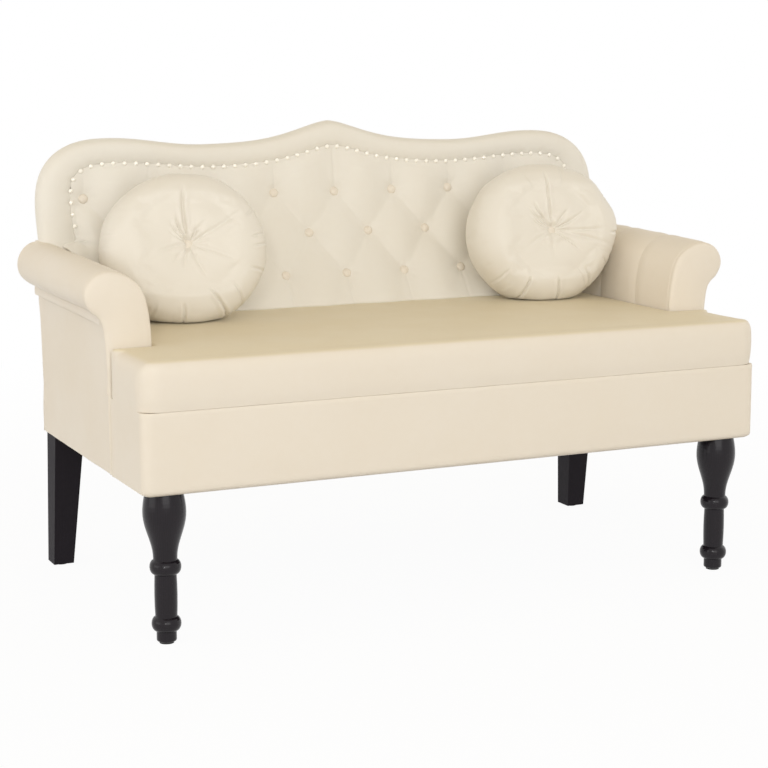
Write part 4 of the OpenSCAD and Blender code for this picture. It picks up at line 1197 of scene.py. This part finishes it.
def add_button(bm, centre, tilt, radius, height, seed, turn=0.0):
    """A covered button: a dome with a soft pucker under its rim, facing the front."""
    made = bmesh.ops.create_uvsphere(bm, u_segments=24, v_segments=14, radius=1.0)["verts"]
    cos_t, sin_t = math.cos(tilt), math.sin(tilt)
    for v in made:
        x, y, out = v.co
        angle = math.atan2(y, x)
        if out < 0:
            out *= 0.45
        gather = 1 + 0.035 * math.cos(9 * angle + seed) * smooth(0.55 - out, 0, 0.6)
        px, pz = radius * x * gather, radius * y * gather
        dome = height * out
        w = pz * sin_t - dome * cos_t
        v.co = Vector((centre[0] + px * math.cos(turn) + w * math.sin(turn),
                       centre[1] - px * math.sin(turn) + w * math.cos(turn),
                       centre[2] + dome * sin_t + pz * cos_t)) * MM


def make_back_buttons():
    bm = bmesh.new()
    for row in range(ROWS_DOWN + 1):
        shift = 0.5 if row == 1 else 0.0
        z = TOP_ROW_Z - row * ROW_GAP
        for n in range(int(2 * BUTTONS_OUT + 1 - 2 * shift)):
            x = (n - BUTTONS_OUT + shift) * BUTTON_STEP
            slope = (back_y(z + 2, base_depth(x, z + 2)) - back_y(z - 2, base_depth(x, z - 2))) / 4
            y = back_y(z, tuft_depth(x, z) + 1.5)
            add_button(bm, (x, y, z), math.atan(slope), radius=8.2, height=5.2, seed=n + row)
    finish_mesh("back_button_covers", bm, button_material(), replaces=["back_buttons"],
                sharp=75)


# ---------------------------------------------------------------- pillows

# Creases of a pillow as [angle in degrees, from, to (shares of the radius), bend, width, depth]
LEFT_CREASES = [
    (101, 0.05, 0.74, -9, 2.6, 1.5), (125, 0.04, 0.40, -16, 2.2, 1.5),
    (141, 0.05, 0.33, -14, 2.0, 1.2), (154, 0.06, 0.27, -10, 2.0, 0.9),
    (27, 0.08, 0.78, 6, 3.6, 0.7), (-18, 0.08, 0.60, -6, 3.6, 0.6), (-73, 0.08, 0.50, 5, 3.2, 0.7),
    (-112, 0.06, 0.30, 4, 2.6, 0.6), (62, 0.06, 0.36, -8, 2.8, 0.7), (190, 0.08, 0.42, 6, 3.0, 0.6),
    (225, 0.06, 0.34, 6, 2.6, 0.5)]
RIGHT_CREASES = [
    (96, 0.10, 0.86, -3, 2.0, 1.1), (133, 0.08, 0.46, -12, 2.2, 1.4),
    (146, 0.08, 0.44, -12, 2.0, 1.2), (158, 0.10, 0.36, -10, 2.0, 0.9),
    (22, 0.06, 0.52, 8, 2.6, 0.9), (-4, 0.06, 0.72, 4, 2.8, 1.0), (-14, 0.10, 0.84, -2, 3.2, 0.8),
    (-34, 0.06, 0.48, -6, 2.4, 0.8), (48, 0.06, 0.40, 6, 2.8, 0.7), (-95, 0.08, 0.38, 4, 3.0, 0.6),
    (205, 0.08, 0.40, 6, 3.0, 0.6)]
LEFT_GATHERS = [
    (-98, 0.80, 1.10, 5, 2.0, 2.6), (-70, 0.66, 1.12, 9, 2.1, 3.6), (-47, 0.76, 1.08, -5, 1.9, 2.8),
    (5, 0.78, 1.04, 6, 1.7, 2.6), (-4, 0.78, 1.02, 6, 1.7, 2.3), (26, 0.80, 1.02, 4, 2.0, 2.0),
    (-24, 0.82, 1.06, 5, 2.0, 2.2), (-120, 0.86, 1.08, 4, 2.0, 1.4)]
RIGHT_GATHERS = [
    (-118, 0.76, 1.10, 5, 2.1, 3.0), (-88, 0.70, 1.12, 4, 2.1, 3.4),
    (-52, 0.74, 1.10, -6, 2.1, 3.2), (-30, 0.82, 1.08, -4, 1.9, 2.4), (-4, 0.82, 1.06, 3, 1.9, 2.2),
    (-140, 0.84, 1.06, 3, 1.9, 1.8), (28, 0.86, 1.06, 3, 1.9, 1.4), (44, 0.62, 1.10, 0, 34, -4.5),
    (8, 0.66, 1.12, 0, 40, -5)]


def crease_depth(creases, angle, r, radius):
    """How far the creases draw the cover in at a point, with a soft ridge beside each."""
    total = 0.0
    for at, low, high, bend, width, depth in creases:
        if not low - 0.06 < r < high + 0.1:
            continue
        turn = math.radians(at + bend * (r - low) / (high - low))
        delta = (angle - turn + math.pi) % (2 * math.pi) - math.pi
        if abs(delta) > 1.2:
            continue
        d = radius * r * math.sin(delta)
        ends = smooth(r, low - 0.05, low + 0.06) * (1 - smooth(r, high - 0.2, high + 0.06))
        total += depth * ends * (bell(d, width) - 0.3 * bell(abs(d) - 2.4 * width, 1.6 * width))
    return total


def make_pillow(hand, tilt, turn, creases, gathers, seed):
    """A round pillow leaning back by tilt and turned by turn, with its two covered buttons."""
    node = f"pillow_{hand}"
    low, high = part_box(node)
    radius, settle, thick, pull, press = 137.0, 0.92, 76.0, 30.0, 12.0
    shrink = 0.952
    x0 = (low.x + high.x) / 2 / MM
    y0 = (low.y + high.y) / 2 / MM
    floor = low.z / MM
    z0 = floor + radius * settle - press
    random = Random(seed)
    depth = padding().crease / MM
    fine = [(random.uniform(0, 360), 0.05, random.uniform(0.16, 0.36), random.uniform(-14, 14),
             random.uniform(1.4, 2.2), random.uniform(0.15, 0.4)) for _ in range(16)]
    rim = [(at + random.uniform(-4, 4), random.uniform(0.86, 0.93), 1.08, random.uniform(-4, 4),
            random.uniform(1.8, 2.8), random.uniform(0.15, 0.6)) for at in range(0, 360, 12)]
    lines = list(creases) + fine

    def form(u, v):
        """The plain cushion, standing upright round its own middle, its front towards -Y."""
        side = 1 if v < 0.5 else -1
        r = 1 - abs(2 * v - 1) ** 1.55
        angle = 2 * math.pi * u
        half = thick * max(0.0, 1 - r ** 2.7) ** (1 / 2.5)
        half -= pull * (0.62 * math.exp(-(r / 0.13) ** 1.5) + 0.38 * bell(r, 0.36))
        out = radius * r
        return (shrink * out * math.cos(angle),
                -side * max(0.0, half) * mix(shrink, 1, bell(r, 0.2)),
                shrink * out * math.sin(angle) * settle)

    bm = bmesh.new()
    bent_grid(bm, 420, 116, form)
    close_holes(bm)
    inflate(bm, 4.5, 4, 7, lambda p: math.hypot(p.x, p.z) < 9, slack=0.05)

    bmesh.ops.recalc_face_normals(bm, faces=bm.faces)
    bm.normal_update()
    shaped = []
    for v in bm.verts:
        a, c, b = v.co / MM
        r, angle = math.hypot(a, b / settle) / radius, math.atan2(b / settle, a)
        front = smooth(-c, -6, 6)
        cut = depth * crease_depth(lines, angle, r, radius) * front
        draw = crease_depth(gathers + rim, angle, r, radius) * mix(0.6, 1.25, front)
        lump = 2.0 * ripple(a, b, c, 52, seed) + 0.9 * ripple(a, b, c, 26, seed)
        lump *= smooth(r, 0.1, 0.35)
        shaped.append(v.co / MM + v.normal * (lump - cut - draw))
    cos_t, sin_t, cos_n, sin_n = math.cos(tilt), math.sin(tilt), math.cos(turn), math.sin(turn)
    rest, give = floor + 0.2, 5
    for v, (a, c, b) in zip(bm.verts, shaped):
        w = b * sin_t + c * cos_t
        z = z0 - c * sin_t + b * cos_t
        if z < rest + give:
            z = rest + give - give * math.tanh((rest + give - z) / give)
        v.co = Vector((x0 + a * cos_n + w * sin_n, y0 - a * sin_n + w * cos_n, z)) * MM
    piece = finish_mesh(f"pillow_cover_{hand}", bm, pillow_material(), body=node, replaces=[node],
                        sharp=80)

    buttons = bmesh.new()
    for side in (1, -1):
        reach = (thick - pull + 1.8) * side
        centre = (x0 - reach * cos_t * sin_n, y0 - reach * cos_t * cos_n, z0 + reach * sin_t)
        facing = tilt if side > 0 else tilt + math.pi
        add_button(buttons, centre, facing, radius=8, height=4.4, seed=seed, turn=turn)
    finish_mesh(f"pillow_cover_{hand}_buttons", buttons, button_material(), body=node,
                replaces=[f"pillow_buttons_{hand}"], sharp=75)


# ---------------------------------------------------------------- operators


class BENCH_OT_seat(bpy.types.Operator):
    """Covers the T-shaped seat pad"""

    bl_idname = "bench.seat"
    bl_label = "Seat cover"

    def execute(self, context):
        make_seat()
        return {"FINISHED"}


class BENCH_OT_box(bpy.types.Operator):
    """Covers the box: its front with the turned corners, its sides and the rear"""

    bl_idname = "bench.box"
    bl_label = "Box covers"

    def execute(self, context):
        make_apron()
        for side in (1, -1):
            make_side(side)
        make_rear_cover()
        return {"FINISHED"}


class BENCH_OT_arms(bpy.types.Operator):
    """Covers the rolled arms with their pleats and fronts"""

    bl_idname = "bench.arms"
    bl_label = "Arm covers"

    def execute(self, context):
        for side in (1, -1):
            make_arm(side)
            make_arm_front(side)
        return {"FINISHED"}


class BENCH_OT_back(bpy.types.Operator):
    """Makes the tufted inside of the back, its smooth band and its covered buttons"""

    bl_idname = "bench.back"
    bl_label = "Tufted back"

    def execute(self, context):
        make_tufted_back()
        make_band()
        make_back_buttons()
        return {"FINISHED"}


class BENCH_OT_pillows(bpy.types.Operator):
    """Makes the two round pillows with their creases and buttons"""

    bl_idname = "bench.pillows"
    bl_label = "Round pillows"

    def execute(self, context):
        make_pillow("left", math.radians(17), math.radians(8), LEFT_CREASES, LEFT_GATHERS, 3)
        make_pillow("right", math.radians(12), math.radians(6), RIGHT_CREASES, RIGHT_GATHERS, 8)
        return {"FINISHED"}


class BENCH_OT_finishes(bpy.types.Operator):
    """Gives the legs, nails, frame and fittings that stay from the frame their finishes"""

    bl_idname = "bench.finishes"
    bl_label = "Legs, nails and frame"

    def execute(self, context):
        c = colours()
        stained = c.legs, shade(c.legs, 0.6), (14, 14, 1.2)
        turned = timber("Dark satin legs", *stained, bump_mm=0.02, rough=0.21, specular=0.26)
        square = timber("Dark dull legs", *stained, bump_mm=0.12, rough=0.60, specular=0.14)
        pine = (0.62, 0.44, 0.25, 1), (0.42, 0.27, 0.13, 1)
        raw = timber("Frame timber", *pine, (1.2, 9, 9))
        upright = timber("Upright timber", *pine, (9, 9, 1.2))
        cross = timber("Side timber", *pine, (9, 1.2, 9))
        strap = cloth("Webbing", (0.13, 0.10, 0.07, 1), (0.22, 0.18, 0.13, 1), 260.0)
        dust = cloth("Dust cloth", (0.010, 0.010, 0.011, 1), (0.03, 0.03, 0.03, 1), 900.0)
        pearl = metal("Pearl nails", c.nails, shade(c.nails, 0.95), 0.1, 0.22, coat=0.6)
        steel = metal("Zinc steel", (0.56, 0.57, 0.58, 1), (0.44, 0.45, 0.46, 1), 1.0, 0.32)
        brass = metal("Turned brass", (0.72, 0.52, 0.23, 1), (0.58, 0.40, 0.16, 1), 1.0, 0.28)
        plastic = cloth("Moulded glide", (0.03, 0.03, 0.03, 1), (0.05, 0.05, 0.05, 1), 1500.0)
        wanted = {
            turned: ["front_leg_left", "front_leg_right"],
            square: ["rear_leg_left", "rear_leg_right"],
            raw: ["front_rail", "rear_rail", "back_top_rail", "back_low_rail"],
            upright: ["back_post_left", "back_post_right", "corner_blocks", "arm_dowels"],
            cross: ["side_rail_left", "side_rail_right", "centre_stretcher", "arm_frame_left",
                    "arm_frame_right"],
            strap: ["seat_webbing", "back_webbing"],
            dust: ["dust_cover"],
            pearl: ["nail_trim"],
            steel: ["leg_bolts", "back_bolts"],
            brass: ["leg_inserts"],
            plastic: ["leg_glides"],
        }
        for material, names in wanted.items():
            for name in names:
                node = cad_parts[name]
                if not node.material_slots:
                    raise RuntimeError(f"{name} has no material slot")
                for slot in node.material_slots:
                    slot.material = material
        return {"FINISHED"}


class BENCH_OT_stage(bpy.types.Operator):
    """Sets the plain pale floor, the soft lamps, the white surroundings and the camera"""

    bl_idname = "bench.stage"
    bl_label = "Stage, lamps and camera"

    def execute(self, context):
        scene = context.scene
        scene.view_settings.view_transform = "Standard"
        make_floor()
        make_world(scene)
        make_lamps(scene)
        make_camera(scene)
        return {"FINISHED"}


def make_floor():
    """A pale floor that takes the bench's shadow close by and is white to the eye further off."""
    bm = bmesh.new()
    bmesh.ops.create_grid(bm, x_segments=8, y_segments=8, size=40)
    mesh = bpy.data.meshes.new("floor")
    bm.to_mesh(mesh)
    bm.free()
    floor = bpy.data.objects.new("floor", mesh)
    bpy.context.scene.collection.objects.link(floor)
    material = bpy.data.materials.new("Pale floor")
    material.use_nodes = True
    nodes, links = material.node_tree.nodes, material.node_tree.links
    nodes.clear()
    paint = add(nodes, "ShaderNodeBsdfDiffuse", Color=(0.74, 0.74, 0.74, 1), Roughness=0.5)
    glow = add(nodes, "ShaderNodeEmission", Color=(1, 1, 1, 1), Strength=1.0)
    away = add(nodes, "ShaderNodeVectorMath", operation="LENGTH")
    links.new(nodes.new("ShaderNodeTexCoord").outputs["Object"], away.inputs[0])
    white = spread(nodes, links, away.outputs["Value"], 0.7, 2.4, 0.95, 1.0)
    share = maths(nodes, links, "MULTIPLY", seen_rays(nodes, links), white)
    both = nodes.new("ShaderNodeMixShader")
    out = nodes.new("ShaderNodeOutputMaterial")
    links.new(share, both.inputs[0])
    links.new(paint.outputs[0], both.inputs[1])
    links.new(glow.outputs[0], both.inputs[2])
    links.new(both.outputs[0], out.inputs["Surface"])
    mesh.materials.append(material)


def seen_rays(nodes, links):
    """1 for rays from the camera, through glass or off a glossy surface."""
    rays = nodes.new("ShaderNodeLightPath")
    seen = maths(nodes, links, "MAXIMUM", rays.outputs["Is Camera Ray"],
                 rays.outputs["Is Glossy Ray"])
    return maths(nodes, links, "MAXIMUM", seen, rays.outputs["Is Transmission Ray"])


# The world's light on the object and its tint, from the sides and from straight above
SIDE_LIGHT, SIDE_TINT = 1.03, (1.0, 1.0, 1.0, 1)
TOP_LIGHT, TOP_TINT = 0.42, (1.0, 0.77, 0.38, 1)


def make_world(scene):
    """White to the eye and in reflections; its light is dimmer and warmer from above."""
    world = bpy.data.worlds.new("Soft studio")
    scene.world = world
    world.use_nodes = True
    nodes, links = world.node_tree.nodes, world.node_tree.links
    nodes.clear()
    parts = nodes.new("ShaderNodeSeparateXYZ")
    links.new(nodes.new("ShaderNodeTexCoord").outputs["Generated"], parts.inputs[0])
    height = spread(nodes, links, parts.outputs["Z"], 0.25, 1.0)
    tone = add(nodes, "ShaderNodeMix", data_type="RGBA")
    links.new(height, tone.inputs["Factor"])
    tone.inputs[6].default_value = SIDE_TINT
    tone.inputs[7].default_value = TOP_TINT
    white = add(nodes, "ShaderNodeBackground", Color=(1, 1, 1, 1), Strength=1.0)
    soft = nodes.new("ShaderNodeBackground")
    links.new(tone.outputs[2], soft.inputs["Color"])
    links.new(spread(nodes, links, height, 0, 1, SIDE_LIGHT, TOP_LIGHT), soft.inputs["Strength"])
    both = nodes.new("ShaderNodeMixShader")
    out = nodes.new("ShaderNodeOutputWorld")
    links.new(seen_rays(nodes, links), both.inputs[0])
    links.new(soft.outputs[0], both.inputs[1])
    links.new(white.outputs[0], both.inputs[2])
    links.new(both.outputs[0], out.inputs["Surface"])


def make_lamps(scene):
    """White square lamps, as name, place, the point aimed at, size in metres and power in watts."""
    lamps = [
        ("front_softbox", (-1.0, -4.7, 2.0), (0, 0, 0.5), 3.2, 66),
        ("small_key", (-2.2, -3.6, 1.7), (0, 0, 0.3), 0.32, 10),
        ("left_softbox", (-4.6, -0.3, 1.2), (0, 0, 0.45), 3.0, 33),
        ("right_softbox", (4.6, 0.2, 1.8), (0, 0, 0.45), 3.0, 14),
    ]
    for name, place, aim, size, power in lamps:
        light = bpy.data.lights.new(name, "AREA")
        light.size = size
        light.energy = power
        lamp = bpy.data.objects.new(name, light)
        lamp.location = place
        lamp.rotation_euler = (Vector(aim) - Vector(place)).to_track_quat("-Z", "Y").to_euler()
        scene.collection.objects.link(lamp)


def make_camera(scene):
    """The photograph's view, measured from the bench's edges."""
    camera = bpy.data.cameras.new("camera")
    camera.sensor_width = 36
    camera.lens = 89.18
    camera.clip_end = 200
    view = bpy.data.objects.new("camera", camera)
    view.location = (-1.35758, -2.85926, 0.86467)
    view.rotation_euler = (math.pi / 2 - 0.171392, 0, -0.438954)
    scene.collection.objects.link(view)
    scene.camera = view


class BENCH_PT_panel(bpy.types.Panel):
    """Lists the steps and their settings"""

    bl_idname = "BENCH_PT_panel"
    bl_label = "Padded bench"
    bl_space_type = "VIEW_3D"
    bl_region_type = "UI"
    bl_category = "Bench"

    def draw(self, context):
        layout = self.layout
        for group in (context.scene.bench_padding, context.scene.bench_colours):
            box = layout.box()
            for key in group.__annotations__:
                box.prop(group, key)
        for step in STEPS:
            layout.operator(step.bl_idname)


STEPS = (BENCH_OT_seat, BENCH_OT_box, BENCH_OT_arms, BENCH_OT_back, BENCH_OT_pillows,
         BENCH_OT_finishes, BENCH_OT_stage)
CLASSES = (BenchPadding, BenchColours, *STEPS, BENCH_PT_panel)


def register():
    for item in CLASSES:
        bpy.utils.register_class(item)
    bpy.types.Scene.bench_padding = bpy.props.PointerProperty(type=BenchPadding)
    bpy.types.Scene.bench_colours = bpy.props.PointerProperty(type=BenchColours)


def unregister():
    del bpy.types.Scene.bench_colours
    del bpy.types.Scene.bench_padding
    for item in reversed(CLASSES):
        bpy.utils.unregister_class(item)


def main():
    register()
    for step in STEPS:
        if getattr(bpy.ops.bench, step.bl_idname.split(".")[1])() != {"FINISHED"}:
            raise RuntimeError(f"{step.bl_label} did not finish")


if __name__ == "__main__":
    main()
